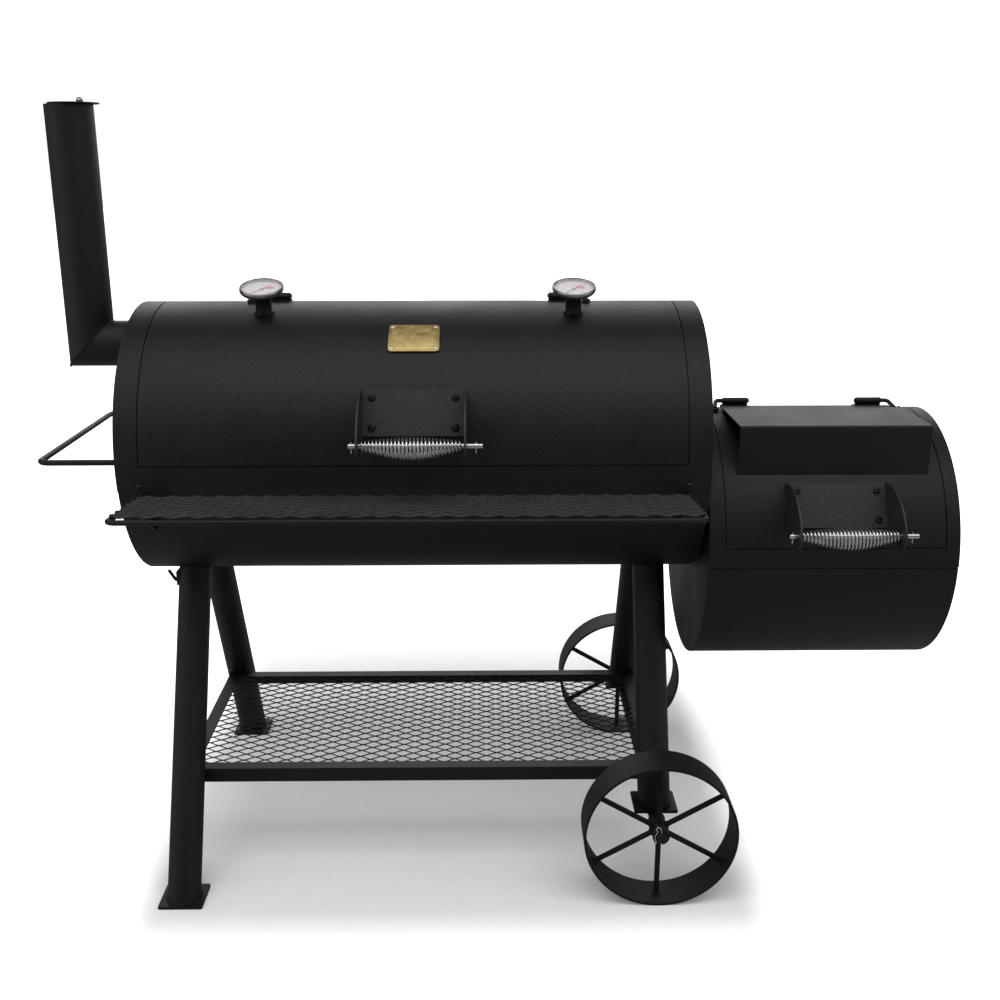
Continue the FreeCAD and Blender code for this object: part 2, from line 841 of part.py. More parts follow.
def drill_bracket(lid, middle, angle, radius, height):
    """Bolt holes for a handle bracket."""
    out = outward(angle)
    for base in bolt_points(middle, angle, radius, height):
        lid = lid.cut(Part.makeCylinder(bolt_radius + 0.2, 30.0, base - out * 20.0, out))
    return lid


# ---- box shelf on the firebox lid -----------------------------------------
def box_shelf():
    """Sheet folded once: a flat top and a front apron that meets the lid."""
    x0 = fire_middle + box_shift - box_length / 2
    top = fire_height + fire_radius + box_rise
    back = barrel_y + 1.0
    front = barrel_y - box_depth
    r = bend_radius
    outer = [V(x0, back, top), V(x0, front + r, top),
             V(x0, front, top - r), V(x0, front, top - box_height)]
    w = box_wall
    inner = [V(x0, front + w, top - box_height), V(x0, front + w, top - r),
             V(x0, front + r, top - w), V(x0, back, top - w)]
    bend_out = V(x0, front + r * (1 - math.sqrt(0.5)), top - r * (1 - math.sqrt(0.5)))
    ri = r - w
    bend_in = V(x0, front + w + ri * (1 - math.sqrt(0.5)), top - w - ri * (1 - math.sqrt(0.5)))
    edges = [
        Part.makeLine(outer[0], outer[1]),
        Part.Arc(outer[1], bend_out, outer[2]).toShape(),
        Part.makeLine(outer[2], outer[3]),
        Part.makeLine(outer[3], inner[0]),
        Part.makeLine(inner[0], inner[1]),
        Part.Arc(inner[1], bend_in, inner[2]).toShape(),
        Part.makeLine(inner[2], inner[3]),
        Part.makeLine(inner[3], outer[0]),
    ]
    sheet = Part.Face(Part.Wire(edges)).extrude(V(box_length, 0, 0))
    sheet = sheet.cut(disc(x0, fire_height, fire_radius + 0.1, box_length))
    for x, side in hinge_middles(fire_middle + fire_hinge_shift, fire_hinge_spread):
        foot = hinge_foot(x, fire_radius, fire_height, side)
        half = hinge_foot_size / 2 + box_notch_gap
        notch = Part.makeBox(2 * half, 4 * half, 5 * half,
                             V(foot.x - half, foot.y - half, foot.z - 2.5 * half))
        sheet = sheet.cut(notch)
    return sheet


# ---- chimney ----------------------------------------------------------------
def mitre_block():
    """Half space above the mitre between stub and stack."""
    size = 400.0
    corner = V(stack_x, barrel_y - size / 2, stub_height)
    points = [corner + V(-size, 0, -size), corner + V(size, 0, size), corner + V(-size, 0, size)]
    return Part.Face(Part.makePolygon(points + points[:1])).extrude(V(0, size, 0))


def chimney_stub():
    """Horizontal pipe through the left end, mitred at its outer end."""
    inside = barrel_left + stub_inside
    start = stack_x - stack_radius * 1.5
    pipe = tube(V(start, barrel_y, stub_height), AXIS_X,
                stack_radius, stack_radius - stack_wall, inside - start)
    return pipe.cut(mitre_block())


def chimney_stack():
    """Vertical pipe mitred at its foot, with the cap's tab inside its mouth."""
    start = stub_height - stack_radius * 1.5
    pipe = tube(V(stack_x, barrel_y, start), AXIS_Z,
                stack_radius, stack_radius - stack_wall, stack_top - start)
    pipe = pipe.common(mitre_block())
    pivot = cap_pivot()
    tab_top = stack_top - cap_tab_drop
    tab = Part.makeBox(cap_tab_width, cap_tab_depth, cap_tab_wall,
                       V(pivot.x - cap_tab_width / 2, pivot.y - cap_tab_depth / 2, tab_top - cap_tab_wall))
    room = Part.makeCylinder(stack_radius - stack_wall / 4, cap_tab_wall * 3,
                             V(stack_x, barrel_y, tab_top - 2 * cap_tab_wall), AXIS_Z)
    tab = tab.common(room)
    body = join([pipe, tab])
    return body.cut(Part.makeCylinder(cap_bolt_radius + 0.05, 30.0, pivot - V(0, 0, 15.0), AXIS_Z))


def cap_pivot():
    """Point where the cap turns, inside the mouth's back edge."""
    return V(stack_x + cap_pivot_side, barrel_y + cap_pivot_back, stack_top)


def chimney_cap():
    """Disc swung partly off the mouth; it turns on the bolt."""
    pivot = cap_pivot()
    centre = V(stack_x + cap_overhang, barrel_y, stack_top + cap_gap)
    cap = Part.makeCylinder(cap_radius, cap_wall, centre, AXIS_Z)
    cap.rotate(pivot, AXIS_Z, cap_swing)
    hole = Part.makeCylinder(cap_bolt_radius + cap_bolt_play, 20.0, pivot - V(0, 0, 5.0), AXIS_Z)
    return cap.cut(hole)


def cap_bolt():
    """Bolt up through the tab and cap, with a washer and a dome nut."""
    pivot = cap_pivot()
    low = stack_top - cap_tab_drop - cap_tab_wall
    top = stack_top + cap_gap + cap_wall + 0.4
    def ring(radius, z, tall):
        return Part.makeCylinder(radius, tall, V(pivot.x, pivot.y, z), AXIS_Z)
    head = ring(dome_radius, low - cap_nut_height - 0.05, cap_nut_height)
    shank = ring(cap_bolt_radius, low - 1.0, top - low + 3.0)
    washer = ring(cap_washer_radius, top, cap_washer_wall)
    nut = ring(dome_radius, top + cap_washer_wall, cap_nut_height)
    crown_at = V(pivot.x, pivot.y, top + cap_washer_wall + cap_nut_height)
    return join([head, shank, washer, nut, Part.makeSphere(dome_radius * 0.85, crown_at)])


# ---- side handle and front shelf ---------------------------------------------
def side_handle():
    """Round bar bent into a U, its ends welded into the left end."""
    near = barrel_y - side_handle_half_width
    far = barrel_y + side_handle_half_width
    inside = barrel_left
    outer = barrel_left - side_handle_reach
    z = barrel_height
    points = [V(inside, near, z), V(outer, near, z), V(outer, far, z), V(inside, far, z)]
    return round_bar(points, side_handle_radius, side_handle_bend)


def tilt_shelf(shape):
    """Turn a shelf piece about its back edge so that its front is higher."""
    back = V(barrel_middle, barrel_y - shelf_reach, shelf_back_height)
    shape.rotate(back, AXIS_X, -shelf_tilt)
    return shape


def shelf_rod():
    """Round bar round the front and sides of the mesh."""
    half = shelf_length / 2 - shelf_rod_radius
    back = barrel_y - shelf_reach
    front = back - shelf_depth
    z = shelf_back_height - shelf_rod_radius - mesh_wall / 2
    points = [V(barrel_middle - half, back, z), V(barrel_middle - half, front, z),
              V(barrel_middle + half, front, z), V(barrel_middle + half, back, z)]
    return tilt_shelf(round_bar(points, shelf_rod_radius, shelf_corner))


def outline(points):
    """Closed line round some corners."""
    return Part.makePolygon(points + points[:1])


def rectangle(x0, x1, y0, y1, z):
    """Closed line round a level rectangle."""
    return outline([V(x0, y0, z), V(x1, y0, z), V(x1, y1, z), V(x0, y1, z)])


def diamond(x, y, z, long, short):
    """One opening of expanded metal."""
    return outline([V(x - long, y, z), V(x, y - short, z), V(x + long, y, z), V(x, y + short, z)])


def mesh_sheet(x0, x1, y0, y1, z, short, strand):
    """Expanded metal: a sheet with rows of staggered diamond openings."""
    long = mesh_long
    border = rectangle(x0, x1, y0, y1, z)
    half_long = long / 2 - strand * long / short / 2
    half_short = short / 2 - strand / 2
    columns = int((x1 - x0 - strand * 2) / long)
    rows = int((y1 - y0 - strand * 2) / (short / 2)) - 1
    start_x = (x0 + x1) / 2 - columns * long / 2
    start_y = (y0 + y1) / 2 - (rows + 1) * short / 4
    holes = []
    for row in range(rows):
        y = start_y + (row + 1) * short / 2
        shift = long / 2 if row % 2 else 0.0
        for column in range(columns - row % 2):
            x = start_x + shift + (column + 0.5) * long
            holes.append(diamond(x, y, z, half_long, half_short))
    face = Part.Face([border] + holes)
    return face.extrude(V(0, 0, mesh_wall))


def front_mesh():
    """Expanded-metal panel on the front shelf's rod."""
    half = shelf_length / 2 - 2.0
    back = barrel_y - shelf_reach
    front = back - shelf_depth
    z = shelf_back_height - mesh_wall / 2 + 0.1
    panel = mesh_sheet(barrel_middle - half, barrel_middle + half, front + 0.5, back, z,
                       front_mesh_short, front_mesh_strand)
    return tilt_shelf(panel)


def shelf_brackets():
    """Gusset plates from the lower shell to the underside of the shelf."""
    gussets = []
    rise = math.sin(rad(shelf_tilt))
    for side in (-1, 1):
        x = barrel_middle + side * shelf_bracket_spread - shelf_bracket_wall / 2
        back = barrel_y - shelf_reach
        top = shelf_back_height - mesh_wall / 2
        under = top + rise * shelf_bracket_reach
        nose = back - shelf_bracket_reach
        heel = back + shelf_bracket_heel
        points = [V(x, heel, top - shelf_bracket_wall), V(x, back, top), V(x, nose, under),
                  V(x, nose, under - shelf_bracket_nose),
                  V(x, back + shelf_bracket_heel / 2, top - shelf_bracket_drop),
                  V(x, heel, top - shelf_bracket_drop)]
        plate = Part.Face(outline(points)).extrude(V(shelf_bracket_wall, 0, 0))
        gussets.append(plate.cut(disc(x, barrel_height, lower_radius + 0.1, shelf_bracket_wall)))
    return Part.makeCompound(gussets)


# ---- legs, bottom shelf and wheels ---------------------------------------------
def leg_line(x, side):
    """Ends of a leg's centre line, from the barrel to the ground."""
    top = V(x, barrel_y + side * leg_top_offset, leg_reference_top)
    foot = V(x, barrel_y + side * leg_foot_offset, foot_wall)
    return top, foot


def leg_cylinder(x, side, radius):
    """Solid bar along a leg, long at both ends."""
    top, foot = leg_line(x, side)
    run = (top - foot).normalize()
    start = foot - run * 60.0
    return Part.makeCylinder(radius, (top - foot).Length + 120.0, start, run)


def leg_at(x, side, z):
    """Point on a leg's centre line at a height."""
    top, foot = leg_line(x, side)
    share = (z - foot.z) / (top.z - foot.z)
    return foot + (top - foot) * share


def leg(x, side, bottom):
    """Tube from the barrel down to a foot plate."""
    body = leg_cylinder(x, side, leg_radius).cut(leg_cylinder(x, side, leg_radius - leg_wall))
    low = bottom + foot_wall
    reach = leg_foot_offset + 2 * leg_radius
    keep = Part.makeBox(4 * leg_radius, 2 * reach, leg_reference_top + 2 * leg_radius - low,
                        V(x - 2 * leg_radius, barrel_y - reach, low))
    body = body.common(keep)
    body = body.cut(disc(x - 2 * leg_radius, barrel_height, lower_radius + 0.1, 4 * leg_radius))
    centre = leg_at(x, side, low)
    plate = Part.makeBox(foot_length, foot_width, foot_wall,
                         V(x - foot_length / 2, centre.y - foot_width / 2, bottom))
    corners = [e for e in plate.Edges if abs(e.tangentAt(e.FirstParameter).z) > 0.99]
    plate = plate.makeFillet(foot_corner, corners)
    return join([body, plate])


def leg_hook():
    """Small strap on the front-left leg with a rod hook for tools."""
    x = barrel_middle - leg_spread
    centre = leg_at(x, -1, hook_height)
    outer = x - leg_radius
    strap = Part.makeBox(leg_radius, hook_plate_width, hook_plate_height,
                         V(outer - hook_plate_wall, centre.y - hook_plate_width / 2,
                           hook_height - hook_plate_height / 2))
    strap = strap.cut(leg_cylinder(x, -1, leg_radius + 0.1))
    low = V(outer - hook_plate_wall, centre.y, hook_height - hook_plate_height / 4)
    tip = low + V(-hook_reach, 0, hook_rise)
    root = [low + V(hook_root / 2, 0, 0), low - V(hook_root, 0, 0)]
    rod = round_bar(root + [tip], hook_rod_radius, hook_bend)
    return join([strap, rod])


def tray_frame():
    """Rectangle of angle iron, cut away where the legs pass."""
    body = angle_rim()
    for x in (barrel_middle - leg_spread, barrel_middle + leg_spread):
        for side in (-1, 1):
            body = body.cut(leg_cylinder(x, side, leg_radius + 0.1))
    return body


def angle_rim():
    """Frame with a flat rim on top and a skirt down its outside."""
    x0 = barrel_middle - tray_half_length
    y0 = barrel_y - tray_half_depth
    length = tray_half_length * 2
    depth = tray_half_depth * 2
    low = tray_height - angle_leg
    block = Part.makeBox(length, depth, angle_leg, V(x0, y0, low))
    hollow = Part.makeBox(length - 2 * angle_wall, depth - 2 * angle_wall, angle_leg - angle_wall,
                          V(x0 + angle_wall, y0 + angle_wall, low))
    window = Part.makeBox(length - 2 * angle_flat, depth - 2 * angle_flat, angle_leg * 2,
                          V(x0 + angle_flat, y0 + angle_flat, low - 1.0))
    return block.cut(hollow).cut(window)


def tray_mesh():
    """Expanded-metal panel welded under the rim."""
    half_x = tray_half_length - angle_wall - 1.0
    top, foot = leg_line(barrel_middle, 1)
    splay = math.atan2(foot.y - top.y, top.z - foot.z)
    leg_y = leg_at(barrel_middle, 1, tray_height).y - barrel_y
    half_y = leg_y - leg_radius / math.cos(splay) - mesh_leg_gap
    z = tray_height - angle_wall - mesh_wall
    return mesh_sheet(barrel_middle - half_x, barrel_middle + half_x,
                      barrel_y - half_y, barrel_y + half_y, z, mesh_short, mesh_strand)


def axle_brackets():
    """Clamp round the axle under each wheel-side foot plate."""
    clamps = []
    for side in (-1, 1):
        centre = leg_at(axle_x, side, axle_leg_bottom + foot_wall)
        base = V(axle_x, centre.y - axle_strap_width / 2, axle_z)
        outer = axle_radius + axle_strap_wall
        drum = Part.makeCylinder(outer, axle_strap_width, base, AXIS_Y)
        under = Part.makeBox(2 * outer, axle_strap_width, axle_leg_bottom - axle_z,
                             V(axle_x - outer, base.y, axle_z))
        ceiling = Part.makeBox(4 * outer, axle_strap_width, outer,
                               V(axle_x - 2 * outer, base.y, axle_leg_bottom))
        bore = Part.makeCylinder(axle_radius + axle_fit, axle_strap_width, base, AXIS_Y)
        clamps.append(join([drum, under]).cut(ceiling).cut(bore))
    return Part.makeCompound(clamps)


def axle():
    """Straight bar across both wheels, drilled for the clips."""
    half = wheel_middle + axle_end
    bar = Part.makeCylinder(axle_radius, 2 * half, V(axle_x, barrel_y - half, axle_z), AXIS_Y)
    rim = [e for e in bar.Edges if e.Curve.TypeId == "Part::GeomCircle"]
    bar = bar.makeChamfer(axle_chamfer, rim)
    for side in (-1, 1):
        y = barrel_y + side * (half - clip_inset)
        bar = bar.cut(Part.makeCylinder(clip_wire + 0.1, 40.0, V(axle_x, y, axle_z - 20.0), AXIS_Z))
    return bar


def wheel(side):
    """Flat steel tyre band, round spokes and a hub tube."""
    middle = barrel_y + side * wheel_middle
    centre = V(axle_x, middle, axle_z)
    base = centre - V(0, wheel_width / 2, 0)
    pieces = [tube(base, AXIS_Y, wheel_radius, wheel_radius - rim_wall, wheel_width)]
    hub_base = centre - V(0, hub_length / 2, 0)
    pieces.append(Part.makeCylinder(hub_radius, hub_length, hub_base, AXIS_Y))
    for i in range(spoke_count):
        a = math.pi / 2 + 2 * math.pi * i / spoke_count
        run = V(math.cos(a), 0, math.sin(a))
        reach = wheel_radius - rim_wall / 2
        pieces.append(Part.makeCylinder(spoke_radius, reach, centre, run))
    body = join(pieces)
    return body.cut(Part.makeCylinder(axle_radius + hub_play, hub_length, hub_base, AXIS_Y))


def wheel_clips():
    """R-clips through the axle's ends and washers each side of the hubs."""
    pieces = []
    half = wheel_middle + axle_end
    for side in (-1, 1):
        y = barrel_y + side * (half - clip_inset)
        pieces.append(hair_clip(V(axle_x, y, axle_z)))
        for place in (-1, 1):
            away = hub_length / 2 + washer_gap + collar_washer_wall / 2
            at = barrel_y + side * wheel_middle + place * away
            base = V(axle_x, at - collar_washer_wall / 2, axle_z)
            washer = tube(base, AXIS_Y, collar_washer_radius, axle_radius + axle_fit, collar_washer_wall)
            pieces.append(washer)
    return Part.makeCompound(pieces)


def hair_clip(at):
    """Wire clip: a straight leg through the axle and a waved leg round it."""
    top = clip_length
    leg_out = axle_radius + clip_wire + 0.4
    points = [at + V(0, 0, -11.0), at + V(0, 0, top), at + V(5.0, 0, top), at + V(3.4, 0, axle_radius + 3.0),
              at + V(leg_out, 0, 3.0), at + V(leg_out, 0, -3.0), at + V(5.0, 0, -11.0)]
    return round_bar(points, clip_wire, 1.6)


# ---- inside ----------------------------------------------------------------
def slotted_grate(x0, x1, half, z, wall, bar, slot, rim):
    """Flat grate with slots along Y between a rim and a middle rib."""
    y0 = barrel_y - half
    border = rectangle(x0, x1, y0, y0 + 2 * half, z)
    room = x1 - x0 - 2 * rim
    count = int((room + bar) / (slot + bar))
    pitch = (room + bar) / count
    holes = []
    for i in range(count):
        a = x0 + rim + i * pitch
        b = a + pitch - bar
        for low, high in ((y0 + rim, barrel_y - rim / 2), (barrel_y + rim / 2, y0 + 2 * half - rim)):
            holes.append(rectangle(a, b, low, high, z))
    return Part.Face([border] + holes).extrude(V(0, 0, wall))


def half_chord(radius, height):
    """Half the width of a barrel at a height from its axis."""
    return math.sqrt(radius ** 2 - height ** 2)


def cooking_grate(side):
    """One of the two grates, side by side over the rails."""
    inner = lower_radius - shell_wall
    half = half_chord(inner, barrel_height - grate_height + grate_wall) - grate_side_gap
    x0 = barrel_left + end_flange + grate_gap
    x1 = barrel_right - end_flange - grate_gap
    span = (x0, barrel_middle - 2.0) if side < 0 else (barrel_middle + 2.0, x1)
    return slotted_grate(span[0], span[1], half, grate_height - grate_wall,
                         grate_wall, grate_bar, grate_slot, grate_frame)


def coal_grate():
    """Heavy grate that holds the fire over the ash."""
    inner = fire_lower_radius - shell_wall
    half = half_chord(inner, fire_height - coal_grate_height + coal_bar) - grate_side_gap
    x0 = fire_left + end_flange + grate_gap
    x1 = fire_right - end_flange - grate_gap
    return slotted_grate(x0, x1, half, coal_grate_height - coal_bar,
                         coal_bar, coal_bar, grate_slot, grate_frame)


def grate_rails():
    """Angle rails welded inside the lower shells under the grates."""
    rails = []
    sets = [
        (barrel_left, barrel_right, barrel_height, lower_radius - shell_wall, grate_height - grate_wall),
        (fire_left, fire_right, fire_height, fire_lower_radius - shell_wall, coal_grate_height - coal_bar),
    ]
    for x0, x1, height, inner, seat in sets:
        start = x0 + end_flange + 2.0
        length = x1 - x0 - 2 * end_flange - 4.0
        chord = half_chord(inner, height - seat + rail_wall)
        for side in (-1, 1):
            edge = barrel_y + side * chord
            flat_y = edge if side < 0 else edge - rail_leg
            flat = Part.makeBox(length, rail_leg, rail_wall, V(start, flat_y, seat - 0.2 - rail_wall))
            web_y = edge - side * rail_leg if side > 0 else edge + rail_leg - rail_wall
            web = Part.makeBox(length, rail_wall, rail_leg / 2, V(start, web_y, seat - 0.2 - rail_leg / 2))
            rail = join([flat, web])
            rails.append(rail.common(disc(start, height, inner - 0.1, length)))
    return Part.makeCompound(rails)


def damper_slots(x, length):
    """Two opposite quarter-ring air slots."""
    slots = []
    centre = V(x, barrel_y, damper_height)
    ring = tube(centre, AXIS_X, damper_slot_outer, damper_slot_inner, length)
    for turn in (45.0, 225.0):
        wedge = Part.makeCylinder(damper_slot_outer + 2.0, length, centre, AXIS_X, damper_slot_turn)
        wedge.rotate(centre, AXIS_X, turn - damper_slot_turn / 2)
        slots.append(ring.common(wedge))
    return slots


def right_fire_end():
    """Right end pan with air slots and the damper's stud."""
    pan = end_pan(fire_right, fire_height, fire_radius, fire_seam_angle, 1)
    for slot in damper_slots(fire_right - 10.0, 20.0):
        pan = pan.cut(slot)
    head_x = fire_right + 2 * damper_gap + damper_wall
    centre = V(fire_right - shell_wall, barrel_y, damper_height)
    stud = Part.makeCylinder(damper_stud_radius, head_x - centre.x + 1.0, centre, AXIS_X)
    head = Part.makeCylinder(damper_stud_radius + damper_head_rim, damper_head_wall,
                             V(head_x, barrel_y, damper_height), AXIS_X)
    return join([pan, stud, head])


def air_damper():
    """Spinning plate with the same slots, turned shut, and a finger knob."""
    x = fire_right + damper_gap
    centre = V(x, barrel_y, damper_height)
    plate = Part.makeCylinder(damper_radius, damper_wall, centre, AXIS_X)
    for slot in damper_slots(x - 5.0, 12.0):
        slot.rotate(centre, AXIS_X, 90)
        plate = plate.cut(slot)
    knob_z = damper_height - damper_radius + damper_knob_radius + damper_wall
    knob = Part.makeCylinder(damper_knob_radius, damper_knob_length - 1.0,
                             V(x + damper_wall - 0.5, barrel_y, knob_z), AXIS_X)
    hole = Part.makeCylinder(damper_stud_radius + damper_play, 4 * damper_wall,
                             V(x - damper_wall, barrel_y, damper_height), AXIS_X)
    return join([plate, knob]).cut(hole)


# ---- build -------------------------------------------------------------------
def build_barrel():
    """Cooking barrel, its ends, and what is welded to them."""
    lower = lower_shell(barrel_left, barrel_right, barrel_height, lower_radius, seam_angle)
    save("main_lower_shell", drill_seam(lower))
    upper = upper_shell(barrel_left, barrel_right, barrel_height, barrel_radius, seam_angle, main_lid_span)
    save("main_upper_shell", drill_seam(upper))
    left = end_pan(barrel_left, barrel_height, barrel_radius, seam_angle, -1)
    pipe = Part.makeCylinder(stack_radius + 0.1, 60.0, V(barrel_left - 20.0, barrel_y, stub_height), AXIS_X)
    save("main_left_end", left.cut(pipe))
    right = end_pan(barrel_right, barrel_height, barrel_radius, seam_angle, 1)
    collar = smoke_opening(barrel_right, fire_gap - 0.1, collar_rim)
    right = join([right, collar.common(disc(barrel_right, barrel_height, barrel_radius, fire_gap))])
    save("main_right_end", right.cut(smoke_opening(barrel_right - 30.0, 60.0, 0.0)))
    save("seam_bolts", seam_bolts())
    save("grate_rails", grate_rails())
    save("side_handle", side_handle())


def build_firebox():
    """Firebox shells, ends, air damper and grate."""
    lower = grooved_shell(fire_left, fire_right, fire_height, fire_lower_radius, fire_seam_angle)
    save("fire_lower_shell", lower)
    upper = upper_shell(fire_left, fire_right, fire_height, fire_radius, fire_seam_angle, fire_lid_span)
    save("fire_upper_shell", upper)
    left = end_pan(fire_left, fire_height, fire_radius, fire_seam_angle, -1)
    save("fire_left_end", left.cut(smoke_opening(fire_left - 10.0, 60.0, 0.0)))
    save("fire_right_end", right_fire_end())
    save("air_damper", air_damper())
    save("charcoal_grate", coal_grate())


def build_lids():
    """Both lids with everything that rides on them."""
    save("main_lid", drilled_lid())
    fire_lid = lid_panel(fire_lid_span, fire_radius, fire_height)
    fire_handle_x = fire_middle + fire_handle_shift
    save("fire_lid", drill_bracket(fire_lid, fire_handle_x, fire_handle_angle, fire_radius, fire_height))
    save("fire_lid_shelf", box_shelf())
    main = hinge_middles(barrel_middle, main_hinge_spread)
    fire = hinge_middles(fire_middle + fire_hinge_shift, fire_hinge_spread)
    rows = [("main", main, barrel_radius, barrel_height, main_hinge_rise),
            ("fire", fire, fire_radius, fire_height, fire_hinge_rise)]
    barrels = []
    for name, places, radius, height, rise in rows:
        barrels += [hinge_barrel(x, radius, height, rise) for x, side in places]
        pins = [hinge_pin(x, radius, height, rise, side) for x, side in places]
        save(name + "_hinge_pins", Part.makeCompound(pins))
    save("hinge_barrels", Part.makeCompound(barrels))
    handles = [("main", barrel_middle, main_handle_angle, barrel_radius, barrel_height),
               ("fire", fire_handle_x, fire_handle_angle, fire_radius, fire_height)]
    for name, x, angle, radius, height in handles:
        save(name + "_handle_bracket", handle_bracket(x, angle, radius, height))
        save(name + "_handle_rod", grip_rod(x, angle, radius, height))
        save(name + "_handle_coil", coil_grip(x, angle, radius, height))
        save(name + "_handle_split_pins", split_pins(x, angle, radius, height))
        save(name + "_handle_bolts", handle_bolts(x, angle, radius, height))


def build_gauges():
    """Two dial thermometers and the name plate."""
    for name, x in zip(("left", "right"), gauge_middles()):
        save("gauge_" + name + "_case", gauge_case(x))
        save("gauge_" + name + "_dial", gauge_dial(x))
        save("gauge_" + name + "_needle", gauge_needle(x))
    save("gauge_glasses", Part.makeCompound([gauge_glass(x) for x in gauge_middles()]))
    save("gauge_nuts", Part.makeCompound([gauge_nut(x) for x in gauge_middles()]))
    save("name_plate", name_plate())
    save("name_plate_rivets", plate_rivets())


def build_chimney():
    """Stub, stack and swivelling cap."""
    save("chimney_stub", chimney_stub())
    save("chimney_stack", chimney_stack())
    save("chimney_cap", chimney_cap())
    save("chimney_cap_bolt", cap_bolt())


def build_stand():
    """Legs, shelves, axle and wheels."""
    left = barrel_middle - leg_spread
    right = barrel_middle + leg_spread
    save("leg_front_left", leg(left, -1, 0.0))
    save("leg_rear_left", leg(left, 1, 0.0))
    save("leg_front_right", leg(right, -1, axle_leg_bottom))
    save("leg_rear_right", leg(right, 1, axle_leg_bottom))
    save("leg_hook", leg_hook())
    save("bottom_shelf_frame", tray_frame())
    save("bottom_shelf_mesh", tray_mesh())
    save("front_shelf_rod", shelf_rod())
    save("front_shelf_mesh", front_mesh())
    save("front_shelf_brackets", shelf_brackets())
    save("axle_brackets", axle_brackets())
    save("axle", axle())
    save("wheel_front", wheel(-1))
    save("wheel_rear", wheel(1))
    save("wheel_clips", wheel_clips())
    save("cooking_grate_left", cooking_grate(-1))
    save("cooking_grate_right", cooking_grate(1))


os.makedirs("parts", exist_ok=True)
build_barrel()
build_firebox()
build_lids()
build_gauges()
build_chimney()
build_stand()
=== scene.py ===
"""Offset smoker in matte black powder-coated steel, with bright coil grips and a brass plate."""

import json
import math

import bpy
from mathutils import Matrix, Vector


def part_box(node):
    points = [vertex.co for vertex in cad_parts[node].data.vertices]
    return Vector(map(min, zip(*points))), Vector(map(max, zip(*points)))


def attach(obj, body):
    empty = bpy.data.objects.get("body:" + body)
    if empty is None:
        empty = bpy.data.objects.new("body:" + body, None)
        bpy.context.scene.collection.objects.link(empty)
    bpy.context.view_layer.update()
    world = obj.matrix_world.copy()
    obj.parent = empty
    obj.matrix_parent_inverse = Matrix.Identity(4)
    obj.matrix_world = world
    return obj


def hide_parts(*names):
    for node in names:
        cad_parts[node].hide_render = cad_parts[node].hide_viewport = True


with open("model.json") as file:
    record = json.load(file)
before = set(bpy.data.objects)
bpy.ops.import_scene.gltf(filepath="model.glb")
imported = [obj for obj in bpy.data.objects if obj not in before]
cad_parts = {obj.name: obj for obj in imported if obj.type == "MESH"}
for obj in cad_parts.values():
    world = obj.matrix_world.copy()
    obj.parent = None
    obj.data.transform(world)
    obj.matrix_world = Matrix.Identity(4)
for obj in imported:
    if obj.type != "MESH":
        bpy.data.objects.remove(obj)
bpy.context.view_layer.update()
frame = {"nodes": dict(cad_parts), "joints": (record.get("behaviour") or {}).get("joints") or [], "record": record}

# ---- cooking barrel ---------------------------------------------------------
# Two half shells of rolled mild steel and two flanged ends, lapped and bolted.
# All are sprayed with heat-resistant black powder and baked: matte, faintly
# pebbled, with a soft light line along every sheared edge.


def linear(hex_colour):
    """sRGB hex to linear RGBA."""
    channels = [int(hex_colour[i:i + 2], 16) / 255 for i in (1, 3, 5)]
    return tuple(c / 12.92 if c <= 0.04045 else ((c + 0.055) / 1.055) ** 2.4 for c in channels) + (1.0,)


def grey(level):
    """Opaque grey of a linear level."""
    return (level, level, level, 1.0)


def node(material, kind, settings=None, links=None):
    """Adds one shader node with its settings and links."""
    made = material.node_tree.nodes.new(kind)
    for key, value in (settings or {}).items():
        if isinstance(key, str) and hasattr(made, key):
            setattr(made, key, value)
        else:
            made.inputs[key].default_value = value
    for key, source in (links or {}).items():
        material.node_tree.links.new(source, made.inputs[key])
    return made


def new_material(name):
    """Empty node material."""
    material = bpy.data.materials.new(name)
    material.use_nodes = True
    material.node_tree.nodes.clear()
    return material


def shades(material, source, low, high, dark, light):
    """Colour that runs from dark to light as a pattern goes from low to high."""
    made = node(material, "ShaderNodeValToRGB", links={"Fac": source})
    made.color_ramp.elements[0].position = low
    made.color_ramp.elements[0].color = dark
    made.color_ramp.elements[1].position = high
    made.color_ramp.elements[1].color = light
    return made.outputs["Color"]


